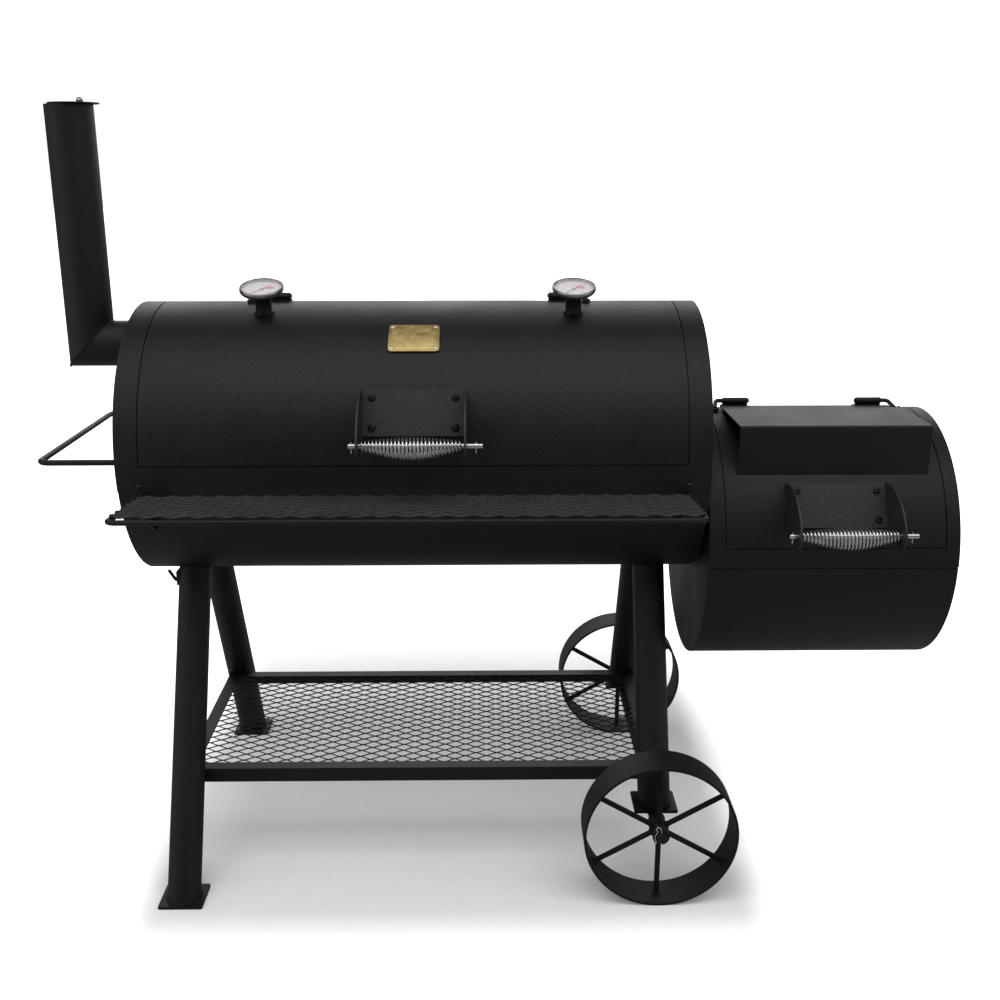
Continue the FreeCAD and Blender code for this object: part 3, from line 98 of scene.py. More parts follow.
def powder_coat(name, colour, dusty, roughness, pebble):
    """Baked powder coat: base colour under faint dust, pebbled by orange peel."""
    material = new_material(name)
    place = node(material, "ShaderNodeTexCoord").outputs["Object"]
    # handling and dust leave soft clouds about 100 mm across
    cloud = node(material, "ShaderNodeTexNoise", {"Scale": 9.0, "Detail": 5.0, "Roughness": 0.6},
                 {"Vector": place}).outputs["Fac"]
    # orange peel of baked powder is about 1.5 mm across: drawn at 2.5 mm, or it is too fine to show
    peel = node(material, "ShaderNodeTexNoise", {"Scale": 400.0, "Detail": 2.0, "Roughness": 0.6},
                {"Vector": place}).outputs["Fac"]
    grain = node(material, "ShaderNodeTexNoise", {"Scale": 1700.0, "Detail": 1.0},
                 {"Vector": place}).outputs["Fac"]
    skin = node(material, "ShaderNodeMath", {"operation": "ADD"}, {0: peel, 1: grain}).outputs["Value"]
    bump = node(material, "ShaderNodeBump", {"Strength": pebble, "Distance": 0.0006}, {"Height": skin})
    # the peel's tops are coloured a little lighter than its hollows
    peel_tone = shades(material, peel, 0.35, 0.7, linear(colour), linear(dusty))
    dust = shades(material, cloud, 0.35, 0.75, linear(colour), linear(dusty))
    tone = node(material, "ShaderNodeMix", {"data_type": "RGBA", "Factor": 0.5}, {"A": dust, "B": peel_tone})
    sheen = shades(material, cloud, 0.3, 0.7, grey(roughness - 0.05), grey(roughness + 0.06))
    shader = node(material, "ShaderNodeBsdfPrincipled", {"IOR": 1.5, "Specular IOR Level": 0.38},
                  {"Base Color": tone.outputs["Result"], "Roughness": sheen, "Normal": bump.outputs["Normal"]})
    node(material, "ShaderNodeOutputMaterial", links={"Surface": shader.outputs["BSDF"]})
    return material


black_powder = powder_coat("steel_black_powder_coat", "#0b0b0b", "#171717", 0.44, 0.6)
# a greyer copy of the same coat: painted highlight for the handle brackets and the front shelf strands, which catch
# more light
lighter_powder_painted_highlight = powder_coat("steel_black_powder_coat_painted_highlight", "#202020", "#333333", 0.42, 0.5)
body_of = {part: name for name, parts in frame["record"]["behaviour"]["bodies"].items() for part in parts}
joint_at = {j["name"]: Vector(j["pos_m"]) for j in frame["joints"] if "pos_m" in j}


def only(piece):
    """Makes one object the selected and active one."""
    for other in bpy.context.selected_objects:
        other.select_set(False)
    piece.select_set(True)
    bpy.context.view_layer.objects.active = piece


def finish_piece(piece, name, finish, body):
    """Names a finished piece, gives it its material and lets it ride."""
    piece.name = name
    piece.data.name = name
    piece.data.materials.clear()
    piece.data.materials.append(finish)
    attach(piece, body)
    return piece


merge_gap = 0.00001
flat_turn = math.radians(0.3)
smooth_turn = math.radians(38.0)
edge_turn = math.radians(40.0)
# a face counts as part of the rolled sheet when it turns within about 14 degrees of the radius
along_radius = 0.97


def shade_round(piece, middle):
    """Shades rolled sheet as a true cylinder about an axis along X."""
    mesh = piece.data
    normals = [Vector(corner.vector) for corner in mesh.corner_normals]
    for face in mesh.polygons:
        for corner in face.loop_indices:
            spot = mesh.vertices[mesh.loops[corner].vertex_index].co
            away = Vector((0.0, spot.y - middle.y, spot.z - middle.z)).normalized()
            facing = face.normal.dot(away)
            if abs(facing) > along_radius:
                normals[corner] = away if facing > 0.0 else -away
    mesh.normals_split_custom_set(normals)


def with_edges(part, finish, radius, middle=None):
    """Merged copy of a CAD piece with its sheared edges broken, in the piece's place."""
    piece = bpy.data.objects.new(part, frame["nodes"][part].data.copy())
    bpy.context.scene.collection.objects.link(piece)
    only(piece)
    bpy.ops.mesh.customdata_custom_splitnormals_clear()
    bpy.ops.object.mode_set(mode="EDIT")
    bpy.ops.mesh.select_all(action="SELECT")
    bpy.ops.mesh.remove_doubles(threshold=merge_gap)
    bpy.ops.mesh.dissolve_limited(angle_limit=flat_turn)
    bpy.ops.object.mode_set(mode="OBJECT")
    bpy.ops.object.shade_smooth_by_angle(angle=smooth_turn)
    broken = piece.modifiers.new("broken_edge", "BEVEL")
    broken.width = radius
    broken.segments = 2
    broken.limit_method = "ANGLE"
    broken.angle_limit = edge_turn
    broken.harden_normals = True
    bpy.ops.object.modifier_apply(modifier=broken.name)
    if middle:
        shade_round(piece, middle)
    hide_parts(part)
    return finish_piece(piece, part + "_finished", finish, body_of[part])


def weld_bead(name, loops, thickness, body="stand"):
    """Closed beads of hand-laid weld: round runs that swell at each puddle."""
    line = bpy.data.curves.new(name, "CURVE")
    line.dimensions = "3D"
    line.bevel_depth = thickness
    line.bevel_resolution = 1
    for points in loops:
        run = line.splines.new("POLY")
        run.points.add(len(points) - 1)
        for i, point in enumerate(points):
            run.points[i].co = (*point, 1.0)
            run.points[i].radius = (1.0, 0.78, 0.9)[i % 3]
        run.use_cyclic_u = True
    piece = bpy.data.objects.new(name, line)
    bpy.context.scene.collection.objects.link(piece)
    only(piece)
    bpy.ops.object.convert(target="MESH")
    piece = bpy.context.object
    bpy.ops.object.shade_smooth()
    return finish_piece(piece, name, black_powder, body)


def ring(centre, across, along, count):
    """Points round an ellipse from its centre and two half axes."""
    turns = [2 * math.pi * i / count for i in range(count)]
    return [centre + across * math.cos(a) + along * math.sin(a) for a in turns]


def drum_axis(lower, upper):
    """Middle of a rolled drum: halfway across, one radius under its top."""
    low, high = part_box(lower)
    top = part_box(upper)[1].z
    return Vector(((low.x + high.x) / 2, (low.y + high.y) / 2, top - (high.y - low.y) / 2))


barrel_middle = drum_axis("main_lower_shell", "main_upper_shell")
for part in ("main_lower_shell", "main_upper_shell", "main_left_end", "main_right_end"):
    with_edges(part, black_powder, 0.0006, barrel_middle)

# oxide-blackened bolts are smoother than the coat round them and catch a small highlight
black_bolts = powder_coat("bolt_black_oxide", "#0b0b0c", "#161617", 0.34, 0.1)
with_edges("seam_bolts", black_bolts, 0.0002)

# ---- side handle -------------------------------------------------------------
# A 10 mm round bar bent into a wide U and welded to the left end by both its
# ends; the same powder coat runs over the welds.
with_edges("side_handle", black_powder, 0.0003)
low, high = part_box("side_handle")
pan_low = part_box("main_left_end")[0]
bar = (high.z - low.z) / 2
for name, y in (("side_handle_weld_front", low.y + bar), ("side_handle_weld_rear", high.y - bar)):
    root = Vector((pan_low.x - 0.0008, y, (low.z + high.z) / 2))
    weld_bead(name, [ring(root, Vector((0.0, bar + 0.0006, 0.0)), Vector((0.0, 0.0, bar + 0.0006)), 24)], 0.0013)

# ---- chimney -----------------------------------------------------------------
# 3 inch pipe cut at 45 degrees and welded into an elbow, let into the left end.
# A flat disc swivels over its mouth on one bolt with a black washer.
for part, edge in (("chimney_stub", 0.0005), ("chimney_stack", 0.0005), ("chimney_cap", 0.0005)):
    with_edges(part, black_powder, edge)
low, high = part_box("chimney_stack")
stub_low, stub_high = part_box("chimney_stub")
pipe = (high.x - low.x) / 2
elbow = Vector(((low.x + high.x) / 2, (stub_low.y + stub_high.y) / 2, (stub_low.z + stub_high.z) / 2))
weld_bead("chimney_elbow_weld", [ring(elbow, Vector((0.0, pipe, 0.0)), Vector((pipe, 0.0, pipe)), 96)], 0.0017)
joint_ring = ring(Vector((pan_low.x - 0.001, elbow.y, elbow.z)), Vector((0.0, pipe + 0.0006, 0.0)),
                  Vector((0.0, 0.0, pipe + 0.0006)), 84)
weld_bead("chimney_root_weld", [joint_ring], 0.0018)


def plated_steel(name, colour, light, roughness, scratch):
    """Bright metal, hazed in patches and broken by fine drawing lines."""
    material = new_material(name)
    place = node(material, "ShaderNodeTexCoord").outputs["Object"]
    haze = node(material, "ShaderNodeTexNoise", {"Scale": 240.0, "Detail": 4.0},
                {"Vector": place}).outputs["Fac"]
    lines = node(material, "ShaderNodeTexNoise", {"Scale": 2600.0, "Detail": 2.0},
                 {"Vector": place}).outputs["Fac"]
    tones = shades(material, haze, 0.3, 0.75, linear(colour), linear(light))
    sheen = shades(material, haze, 0.3, 0.75, grey(roughness), grey(roughness + 0.14))
    bump = node(material, "ShaderNodeBump", {"Strength": scratch, "Distance": 0.0001}, {"Height": lines})
    shader = node(material, "ShaderNodeBsdfPrincipled", {"Metallic": 1.0},
                  {"Base Color": tones, "Roughness": sheen, "Normal": bump.outputs["Normal"]})
    node(material, "ShaderNodeOutputMaterial", links={"Surface": shader.outputs["BSDF"]})
    return material


bright_steel = plated_steel("steel_bright_zinc_plate", "#d0d2d3", "#ebecec", 0.2, 0.08)
dull_zinc = plated_steel("steel_dull_zinc_plate", "#8c8d8f", "#aaabac", 0.34, 0.3)


def turned(profile, sides):
    """Form turned about Z: a disc extruded and widened ring by ring."""
    radius, height = profile[0]
    bpy.ops.mesh.primitive_circle_add(vertices=sides, radius=radius, fill_type="NGON")
    piece = bpy.context.object
    only(piece)
    bpy.ops.object.mode_set(mode="EDIT")
    bpy.ops.mesh.select_all(action="SELECT")
    bpy.ops.transform.translate(value=(0.0, 0.0, height))
    for wide, up in profile[1:]:
        bpy.ops.mesh.extrude_region_move(TRANSFORM_OT_translate={"value": (0.0, 0.0, up - height)})
        grow = wide / radius
        bpy.ops.transform.resize(value=(grow, grow, 1.0), center_override=(0.0, 0.0, 0.0))
        radius, height = wide, up
    bpy.ops.mesh.select_all(action="SELECT")
    bpy.ops.mesh.normals_make_consistent(inside=False)
    bpy.ops.object.mode_set(mode="OBJECT")
    bpy.ops.object.shade_smooth_by_angle(angle=math.radians(35.0))
    return piece


def set_down(piece, matrix):
    """Moves a piece made at the origin to its place and applies it."""
    only(piece)
    piece.matrix_world = matrix
    bpy.ops.object.transform_apply(location=True, rotation=True, scale=True)


cap_low, cap_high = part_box("chimney_cap")
swivel = joint_at["chimney_cap_swing"]
top = cap_high.z + 0.0002
nut = turned([(0.0028, cap_low.z - 0.0042), (0.005, cap_low.z - 0.0042), (0.005, cap_low.z - 0.0036),
              (0.003, cap_low.z - 0.0035), (0.003, top + 0.0012), (0.0054, top + 0.0012), (0.0056, top + 0.0018),
              (0.0056, top + 0.0048), (0.005, top + 0.0056), (0.0046, top + 0.0066), (0.0036, top + 0.0082),
              (0.002, top + 0.0093), (0.0006, top + 0.0097)], 30)
set_down(nut, Matrix.Translation(Vector((swivel.x, swivel.y, 0.0))))
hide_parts("chimney_cap_bolt")
finish_piece(nut, "chimney_cap_dome_nut", dull_zinc, "stand")
washer = turned([(0.0035, top), (0.0066, top), (0.0068, top + 0.0003), (0.0068, top + 0.0009),
                 (0.0064, top + 0.0012), (0.0035, top + 0.0012)], 30)
set_down(washer, Matrix.Translation(Vector((swivel.x, swivel.y, 0.0))))
finish_piece(washer, "chimney_cap_washer", black_bolts, "stand")

# ---- firebox -----------------------------------------------------------------
# A shorter barrel hung lower on the right end, of the same rolled sheet. A slotted disc
# on its far end sets the air.
fire_middle = drum_axis("fire_lower_shell", "fire_upper_shell")
for part in ("fire_lower_shell", "fire_upper_shell", "fire_left_end", "fire_right_end"):
    with_edges(part, black_powder, 0.0006, fire_middle)
with_edges("air_damper", black_powder, 0.0006)

# ---- lids and their hinges ------------------------------------------------------
# Each lid is the piece cut from its shell. Two short tubes are welded behind
# it and bent pins run through them to feet on the lid; a folded sheet on the
# firebox lid makes a warm shelf.
with_edges("main_lid", black_powder, 0.0008, barrel_middle)
with_edges("fire_lid", black_powder, 0.0008, fire_middle)
with_edges("fire_lid_shelf", black_powder, 0.0008)
for part in ("hinge_barrels", "main_hinge_pins", "fire_hinge_pins"):
    with_edges(part, black_powder, 0.0005)

# ---- lid handles -----------------------------------------------------------------
# A folded bracket with two curved fins, bolted to the lid. A plated rod runs
# through the fins, held by split pins, inside a barrel-shaped coil of plated
# wire that hangs on it and stays cool to the hand.
grip_drop = 0.059
grip_reach = 0.057
bolt_across = 0.0643
bolt_down = 0.0237
bracket_wall = 0.0032
coil_half = 0.0757
coil_turns = 27
coil_wire = 0.00175
coil_end = 0.0059
coil_swell = 0.0101
coil_sag = 0.0045


def coil_grip():
    """One coil at the origin along X: a ring of wire screwed along, then swelled and let hang."""
    bpy.ops.mesh.primitive_circle_add(vertices=10, radius=coil_wire, location=(0.0, coil_end, 0.0))
    piece = bpy.context.object
    only(piece)
    bpy.ops.object.transform_apply(location=True)
    screw = piece.modifiers.new("wind", "SCREW")
    screw.axis = "X"
    screw.angle = 2 * math.pi
    screw.screw_offset = 2 * coil_half / coil_turns
    screw.iterations = coil_turns
    screw.steps = 28
    screw.render_steps = 28
    bpy.ops.object.modifier_apply(modifier=screw.name)
    for vertex in piece.data.vertices:
        x = vertex.co.x - coil_half
        share = max(0.0, math.cos(math.pi * x / (2 * coil_half + 0.004)))
        round_axis = Vector((0.0, vertex.co.y, vertex.co.z))
        grown = round_axis * (1.0 + coil_swell * share ** 1.2 / round_axis.length)
        vertex.co = Vector((x, grown.y, grown.z - coil_sag * share ** 1.5))
    bpy.ops.object.mode_set(mode="EDIT")
    bpy.ops.mesh.select_all(action="SELECT")
    bpy.ops.mesh.edge_face_add()
    bpy.ops.mesh.normals_make_consistent(inside=False)
    bpy.ops.object.mode_set(mode="OBJECT")
    bpy.ops.object.shade_smooth_by_angle(angle=math.radians(60.0))
    return piece


for which, angle in (("main", 21.4), ("fire", 27.5)):
    body = which + "_lid"
    out = Vector((0.0, -math.cos(math.radians(angle)), math.sin(math.radians(angle))))
    down = Vector((0.0, -out.z, out.y))
    grip = joint_at[which + "_handle_coil_spin"]
    plate = grip - down * grip_drop - out * (grip_reach - bracket_wall)
    # the bracket wears the lighter copy of the coat: painted highlight
    with_edges(which + "_handle_bracket", lighter_powder_painted_highlight, 0.0007)
    with_edges(which + "_handle_rod", bright_steel, 0.0003)
    with_edges(which + "_handle_split_pins", bright_steel, 0.0001)
    coil = coil_grip()
    set_down(coil, Matrix.Translation(grip))
    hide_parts(which + "_handle_coil")
    finish_piece(coil, which + "_coil_grip", bright_steel, which + "_handle_coil")
    stood = Matrix((Vector((1.0, 0.0, 0.0)), -down, out)).transposed().to_4x4()
    for number, (side, row) in enumerate(((-1, -1), (1, -1), (-1, 1), (1, 1))):
        # button head with a round socket, over its washer; the nut is inside the lid
        bolt = turned([(0.003, -0.016), (0.003, -0.014), (0.0052, -0.014), (0.0052, -0.010), (0.003, -0.010),
                       (0.003, 0.0), (0.0062, 0.0), (0.0064, 0.0003), (0.0064, 0.0009), (0.0052, 0.001),
                       (0.0052, 0.0016), (0.0048, 0.0026), (0.0040, 0.0034), (0.0028, 0.0038),
                       (0.0022, 0.0037), (0.0020, 0.0018), (0.0004, 0.0016)], 24)
        centre = plate + Vector((side * bolt_across, 0.0, 0.0)) + down * (row * bolt_down)
        set_down(bolt, Matrix.Translation(centre) @ stood)
        if number == 0:
            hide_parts(which + "_handle_bolts")
        finish_piece(bolt, f"{which}_handle_bolt_{number + 1}", black_bolts, body)

# ---- dial thermometers --------------------------------------------------------------
# Spun stainless cases with rolled bezels on black stems through the lid. Under
# flat glass a white printed dial carries a plain scale and a thin pointer.
gauge_lean = math.radians(73.0)
gauge_out = Vector((0.0, -math.cos(gauge_lean), math.sin(gauge_lean)))
gauge_up = Vector((0.0, gauge_out.z, -gauge_out.y))
gauge_frame = Matrix((Vector((1.0, 0.0, 0.0)), gauge_up, gauge_out)).transposed().to_4x4()
dial_height = 0.0402
gauge_steel = plated_steel("stainless_spun_polished", "#a3a3a3", "#c2c2c1", 0.24, 0.06)
rubber_black = powder_coat("gauge_stem_black_enamel", "#0a0a0a", "#111111", 0.36, 0.08)
dial_white = powder_coat("dial_white_enamel", "#cdc6cb", "#c4bcc2", 0.4, 0.02)
scale_grey = powder_coat("dial_scale_grey_ink", "#9c9a9d", "#a4a2a5", 0.5, 0.02)
scale_red = powder_coat("dial_zone_red_ink", "#c9909c", "#d09aa4", 0.5, 0.02)
needle_grey = powder_coat("pointer_grey_paint", "#8b898c", "#949295", 0.4, 0.02)
# flat pressed glass is clear, with a faint uneven film that softens what it mirrors
glass = new_material("glass_flat_clear")
film = node(glass, "ShaderNodeTexNoise", {"Scale": 60.0, "Detail": 2.0},
            {"Vector": node(glass, "ShaderNodeTexCoord").outputs["Object"]}).outputs["Fac"]
clear = node(glass, "ShaderNodeBsdfPrincipled", {"Base Color": grey(0.9), "IOR": 1.5, "Alpha": 0.1},
             {"Roughness": shades(glass, film, 0.3, 0.7, grey(0.02), grey(0.06))})
node(glass, "ShaderNodeOutputMaterial", links={"Surface": clear.outputs["BSDF"]})


ink_film = 0.0001
number_size = 0.0052
number_ring = 0.0176
tick_end = 0.0292
tick_width = 0.0005
zone_ring = 0.0145
zone_length = 0.013
zone_bar = 0.0008


def printed_bar(radius, angle, long, wide, ink):
    """One printed bar of the scale, pointing at the dial's centre."""
    bpy.ops.mesh.primitive_cube_add(size=1.0)
    bar = bpy.context.object
    turn = Matrix.Rotation(-angle, 4, "Z") @ Matrix.Translation(Vector((0.0, radius, dial_height)))
    bar.matrix_world = turn @ Matrix.Diagonal((wide, long, ink_film, 1.0))
    bar.data.materials.append(ink)
    return bar


def printed_number(words, radius, angle):
    """A number of the scale, as a flat mesh."""
    at = Matrix.Rotation(-angle, 4, "Z") @ Vector((0.0, radius, dial_height))
    bpy.ops.object.text_add(location=at)
    number = bpy.context.object
    number.data.body = words
    number.data.size = number_size
    number.data.align_x = "CENTER"
    number.data.align_y = "CENTER"
    number.data.extrude = 0.00004
    only(number)
    bpy.ops.object.convert(target="MESH")
    number = bpy.context.object
    number.data.materials.append(scale_grey)
    return number


def printed_scale():
    """The whole scale of one dial as one mesh at the origin."""
    pieces = []
    for i in range(55):
        angle = math.radians(-135 + 5 * i)
        long = 0.0034 if i % 9 == 0 else 0.002
        pieces.append(printed_bar(tick_end - long / 2, angle, long, tick_width, scale_grey))
    for i in range(26):
        pieces.append(printed_bar(zone_ring, math.radians(26 + 2 * i), zone_length, zone_bar, scale_red))
    for i in range(7):
        pieces.append(printed_number(str(50 + 50 * i), number_ring, math.radians(-135 + 45 * i)))
    for piece in bpy.context.selected_objects:
        piece.select_set(False)
    for piece in pieces:
        piece.select_set(True)
    bpy.context.view_layer.objects.active = pieces[0]
    bpy.ops.object.join()
    joined = bpy.context.object
    bpy.ops.object.transform_apply(location=True, rotation=True, scale=True)
    return joined


for which in ("left", "right"):
    foot = joint_at["gauge_" + which + "_needle_turn"]
    stood = Matrix.Translation(foot) @ gauge_frame
    stem = turned([(0.0025, -0.042), (0.0025, -0.014), (0.005, -0.014), (0.005, 0.0002), (0.0155, 0.0002),
                   (0.016, 0.0006), (0.016, 0.0022), (0.0155, 0.003), (0.0136, 0.0034), (0.013, 0.005),
                   (0.013, 0.031), (0.0145, 0.0332), (0.002, 0.0336)], 48)
    set_down(stem, stood)
    finish_piece(stem, f"gauge_{which}_stem", rubber_black, "main_lid")
    case = turned([(0.0146, 0.0334), (0.0275, 0.034), (0.0318, 0.0355), (0.0344, 0.038), (0.0352, 0.04),
                   (0.0355, 0.0415), (0.0355, 0.0442), (0.0352, 0.0452), (0.0345, 0.0458), (0.0335, 0.046),
                   (0.0327, 0.0457), (0.0323, 0.045), (0.0323, 0.0391), (0.0035, 0.0391)], 72)
    set_down(case, stood)
    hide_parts(f"gauge_{which}_case")
    finish_piece(case, f"gauge_{which}_spun_case", gauge_steel, "main_lid")
    with_edges(f"gauge_{which}_dial", dial_white, 0.0001)
    scale = printed_scale()
    set_down(scale, stood)
    scale.name = f"gauge_{which}_scale"
    scale.data.name = scale.name
    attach(scale, "main_lid")
    with_edges(f"gauge_{which}_needle", needle_grey, 0.00008)
with_edges("gauge_glasses", glass, 0.0003)
with_edges("gauge_nuts", dull_zinc, 0.0004)

# ---- name plate ---------------------------------------------------------------------
# A blank pressed-brass plate bent to the lid, with a raised border, held by four
# small aluminium rivets. It carries no words.


def pressed_plate(width, tall, wall, radius, lean):
    """Round-cornered sheet pressed with a raised border, then bent to the lid."""
    bpy.ops.mesh.primitive_grid_add(x_subdivisions=20, y_subdivisions=16, size=1.0)
    piece = bpy.context.object
    only(piece)
    bpy.ops.object.mode_set(mode="EDIT")
    bpy.ops.mesh.select_all(action="SELECT")
    bpy.ops.transform.resize(value=(width, tall, 1.0))
    bpy.ops.mesh.inset(thickness=0.0016, depth=0.0, use_boundary=True)
    bpy.ops.mesh.inset(thickness=0.0005, depth=0.0007, use_boundary=True)
    bpy.ops.mesh.inset(thickness=0.0012, depth=0.0, use_boundary=True)
    bpy.ops.mesh.inset(thickness=0.0005, depth=-0.0007, use_boundary=True)
    bpy.ops.object.mode_set(mode="OBJECT")
    corner = 0.005
    for vertex in piece.data.vertices:
        over_x = abs(vertex.co.x) - (width / 2 - corner)
        over_y = abs(vertex.co.y) - (tall / 2 - corner)
        if over_x > 0.0 and over_y > 0.0:
            round_off = 1.0 - max(over_x, over_y) / math.hypot(over_x, over_y)
            vertex.co.x -= math.copysign(over_x * round_off, vertex.co.x)
            vertex.co.y -= math.copysign(over_y * round_off, vertex.co.y)
        turn = lean + vertex.co.y / radius
        reach = radius + wall + vertex.co.z
        vertex.co = Vector((vertex.co.x, -reach * math.cos(turn), reach * math.sin(turn)))
    thick = piece.modifiers.new("sheet", "SOLIDIFY")
    thick.thickness = wall
    thick.offset = -1.0
    bpy.ops.object.modifier_apply(modifier=thick.name)
    bpy.ops.object.shade_smooth_by_angle(angle=math.radians(25.0))
    return piece


brass = new_material("brass_pressed_brushed")
spot = node(brass, "ShaderNodeTexCoord").outputs["Object"]
# brushing runs along the plate: lines about 0.3 mm apart, stretched fifty times
stretch = node(brass, "ShaderNodeMapping", {"Scale": (60.0, 3000.0, 3000.0)}, {"Vector": spot})
brushed = node(brass, "ShaderNodeTexNoise", {"Scale": 1.0, "Detail": 3.0},
               {"Vector": stretch.outputs["Vector"]}).outputs["Fac"]
stain = node(brass, "ShaderNodeTexNoise", {"Scale": 90.0, "Detail": 4.0}, {"Vector": spot}).outputs["Fac"]
warm = node(brass, "ShaderNodeMix", {"data_type": "RGBA", "Factor": 0.45},
            {"A": shades(brass, stain, 0.3, 0.7, linear("#c4a55c"), linear("#ecd492")),
             "B": shades(brass, brushed, 0.3, 0.7, linear("#d2b56c"), linear("#f6e4b0"))})
ridges = node(brass, "ShaderNodeBump", {"Strength": 0.25, "Distance": 0.0001}, {"Height": brushed})
gold = node(brass, "ShaderNodeBsdfPrincipled", {"Metallic": 1.0},
            {"Base Color": warm.outputs["Result"], "Normal": ridges.outputs["Normal"],
             "Roughness": shades(brass, stain, 0.3, 0.7, grey(0.36), grey(0.52))})
node(brass, "ShaderNodeOutputMaterial", links={"Surface": gold.outputs["BSDF"]})
low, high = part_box("name_plate")
barrel_axis = Vector(((low.x + high.x) / 2, barrel_middle.y, barrel_middle.z))
lid_radius = 0.2291
plate_wall = 0.0011
plate_height = 0.058
plate_turn = math.radians(53.75)
plate = pressed_plate(high.x - low.x, plate_height, plate_wall, lid_radius, plate_turn)
set_down(plate, Matrix.Translation(barrel_axis))
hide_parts("name_plate")
finish_piece(plate, "name_plate_pressed", brass, "main_lid")
# bare aluminium domes are the palest metal here, with a small dimple from the rivet tool
rivet_grey = plated_steel("aluminium_rivet_domed", "#e0e0e1", "#f2f2f2", 0.34, 0.05)
rivet_edge = 0.006
rivet_reach = 0.2303
low_row = math.radians(48.0)
high_row = math.radians(59.5)
for number, (side, turn) in enumerate(((-1, low_row), (1, low_row), (-1, high_row), (1, high_row))):
    out = Vector((0.0, -math.cos(turn), math.sin(turn)))
    along = Vector((side * ((high.x - low.x) / 2 - rivet_edge), 0.0, 0.0))
    stood = Matrix((Vector((1.0, 0.0, 0.0)), out.cross(Vector((1.0, 0.0, 0.0))), out)).transposed().to_4x4()
    rivet = turned([(0.0012, -0.0045), (0.0012, 0.0), (0.0031, 0.0), (0.0032, 0.0002), (0.0027, 0.0008),
                    (0.0017, 0.0012), (0.0012, 0.0012), (0.0009, 0.0008), (0.0002, 0.0008)], 24)
    set_down(rivet, Matrix.Translation(barrel_axis + along + out * rivet_reach) @ stood)
    if number == 0:
        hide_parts("name_plate_rivets")
    finish_piece(rivet, f"name_plate_rivet_{number + 1}", rivet_grey, "main_lid")

# ---- legs ---------------------------------------------------------------------------
# 54 mm tube, coped and welded to the barrel's underside, splayed front and
# back. Each stands on a welded foot plate; the wheel-side plates sit on the
# axle. One leg carries a small rod hook.
leg_tube = 0.027
leg_top = (0.068, 0.498)
leg_foot = (0.298, 0.005)
foot_plate_top = 0.0058
weld_stand = 0.0005
top_bead = 0.0019
foot_bead = 0.0017
wheel_foot_bead = 0.0026
shell_low, shell_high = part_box("main_lower_shell")
shell_radius = (shell_high.y - shell_low.y) / 2


def leg_welds(part, side):
    """Beads where a leg meets the barrel and its foot plate."""
    low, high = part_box(part)
    x = (low.x + high.x) / 2
    foot = Vector((x, barrel_middle.y + side * leg_foot[0], leg_foot[1]))
    head = Vector((x, barrel_middle.y + side * leg_top[0], leg_top[1]))
    run = (head - foot).normalized()
    round_side = Vector((1.0, 0.0, 0.0)) * (leg_tube + weld_stand)
    round_front = run.cross(Vector((1.0, 0.0, 0.0))) * (leg_tube + weld_stand)
    upper = []
    lower = []
    plate_top = low.z + foot_plate_top
    for point in ring(foot, round_side, round_front, 72):
        lower.append(point + run * ((plate_top - point.z) / run.z))
        to_y = point.y - barrel_middle.y
        to_z = point.z - barrel_middle.z
        half = to_y * run.y + to_z * run.z
        inside = half * half - (to_y * to_y + to_z * to_z - (shell_radius + weld_stand) ** 2)
        upper.append(point + run * (-half - math.sqrt(inside)))
    weld_bead(part + "_weld_top", [upper], top_bead)
    weld_bead(part + "_weld_foot", [lower], wheel_foot_bead if part.endswith("right") else foot_bead)


for part, side in (("leg_front_left", -1), ("leg_rear_left", 1), ("leg_front_right", -1), ("leg_rear_right", 1)):
    with_edges(part, black_powder, 0.0006)
    leg_welds(part, side)
with_edges("leg_hook", black_powder, 0.0004)

# ---- bottom shelf -------------------------------------------------------------------
# A welded frame of angle iron round a panel of expanded steel, slit and pulled
# so that its strands lean and meet in short bonds.
mesh_pitch = 0.0363


def expanded_steel(name, length, depth, short, strand, thick, lean):
    """Panel of expanded steel about the origin: waved strands that meet crest to trough."""
    columns = round(length / mesh_pitch)
    pair = []
    for phase in (0.0, 0.5):
        bpy.ops.mesh.primitive_grid_add(x_subdivisions=columns * 8, y_subdivisions=1, size=1.0)
        strip = bpy.context.object
        for vertex in strip.data.vertices:
            turn = (vertex.co.x + 0.5) * columns
            wave = abs(((turn + phase) % 1.0) * 2.0 - 1.0) * 2.0 - 1.0
            wave = max(-1.0, min(1.0, wave * 1.2)) * short / 4
            half = vertex.co.y * strand
            vertex.co = Vector((vertex.co.x * length, wave + half * math.cos(lean) + phase * short,
                                half * math.sin(lean)))
        wall = strip.modifiers.new("thickness", "SOLIDIFY")
        wall.thickness = thick
        wall.offset = 0.0
        only(strip)
        bpy.ops.object.modifier_apply(modifier=wall.name)
        pair.append(strip)
    pair[0].select_set(True)
    bpy.ops.object.join()
    panel = bpy.context.object
    rows = int((depth - strand) / short)
    repeat = panel.modifiers.new("rows", "ARRAY")
    repeat.use_relative_offset = False
    repeat.use_constant_offset = True
    repeat.constant_offset_displace = (0.0, short, 0.0)
    repeat.count = rows
    bpy.ops.object.modifier_apply(modifier=repeat.name)
    for vertex in panel.data.vertices:
        vertex.co.y -= (rows - 0.5) * short / 2
    panel.name = name
    return panel


with_edges("bottom_shelf_frame", black_powder, 0.0006)
low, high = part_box("bottom_shelf_mesh")
side_gap = 0.002
strand_wall = 0.0018
bottom_short = 0.021
bottom_strand = 0.0034
bottom_lean = math.radians(-32.0)
bottom_mesh = expanded_steel("bottom_shelf_panel", high.x - low.x - side_gap, high.y - low.y, bottom_short,
                             bottom_strand, strand_wall, bottom_lean)
set_down(bottom_mesh, Matrix.Translation((low + high) / 2))
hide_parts("bottom_shelf_mesh")
finish_piece(bottom_mesh, "bottom_shelf_panel", black_powder, "stand")

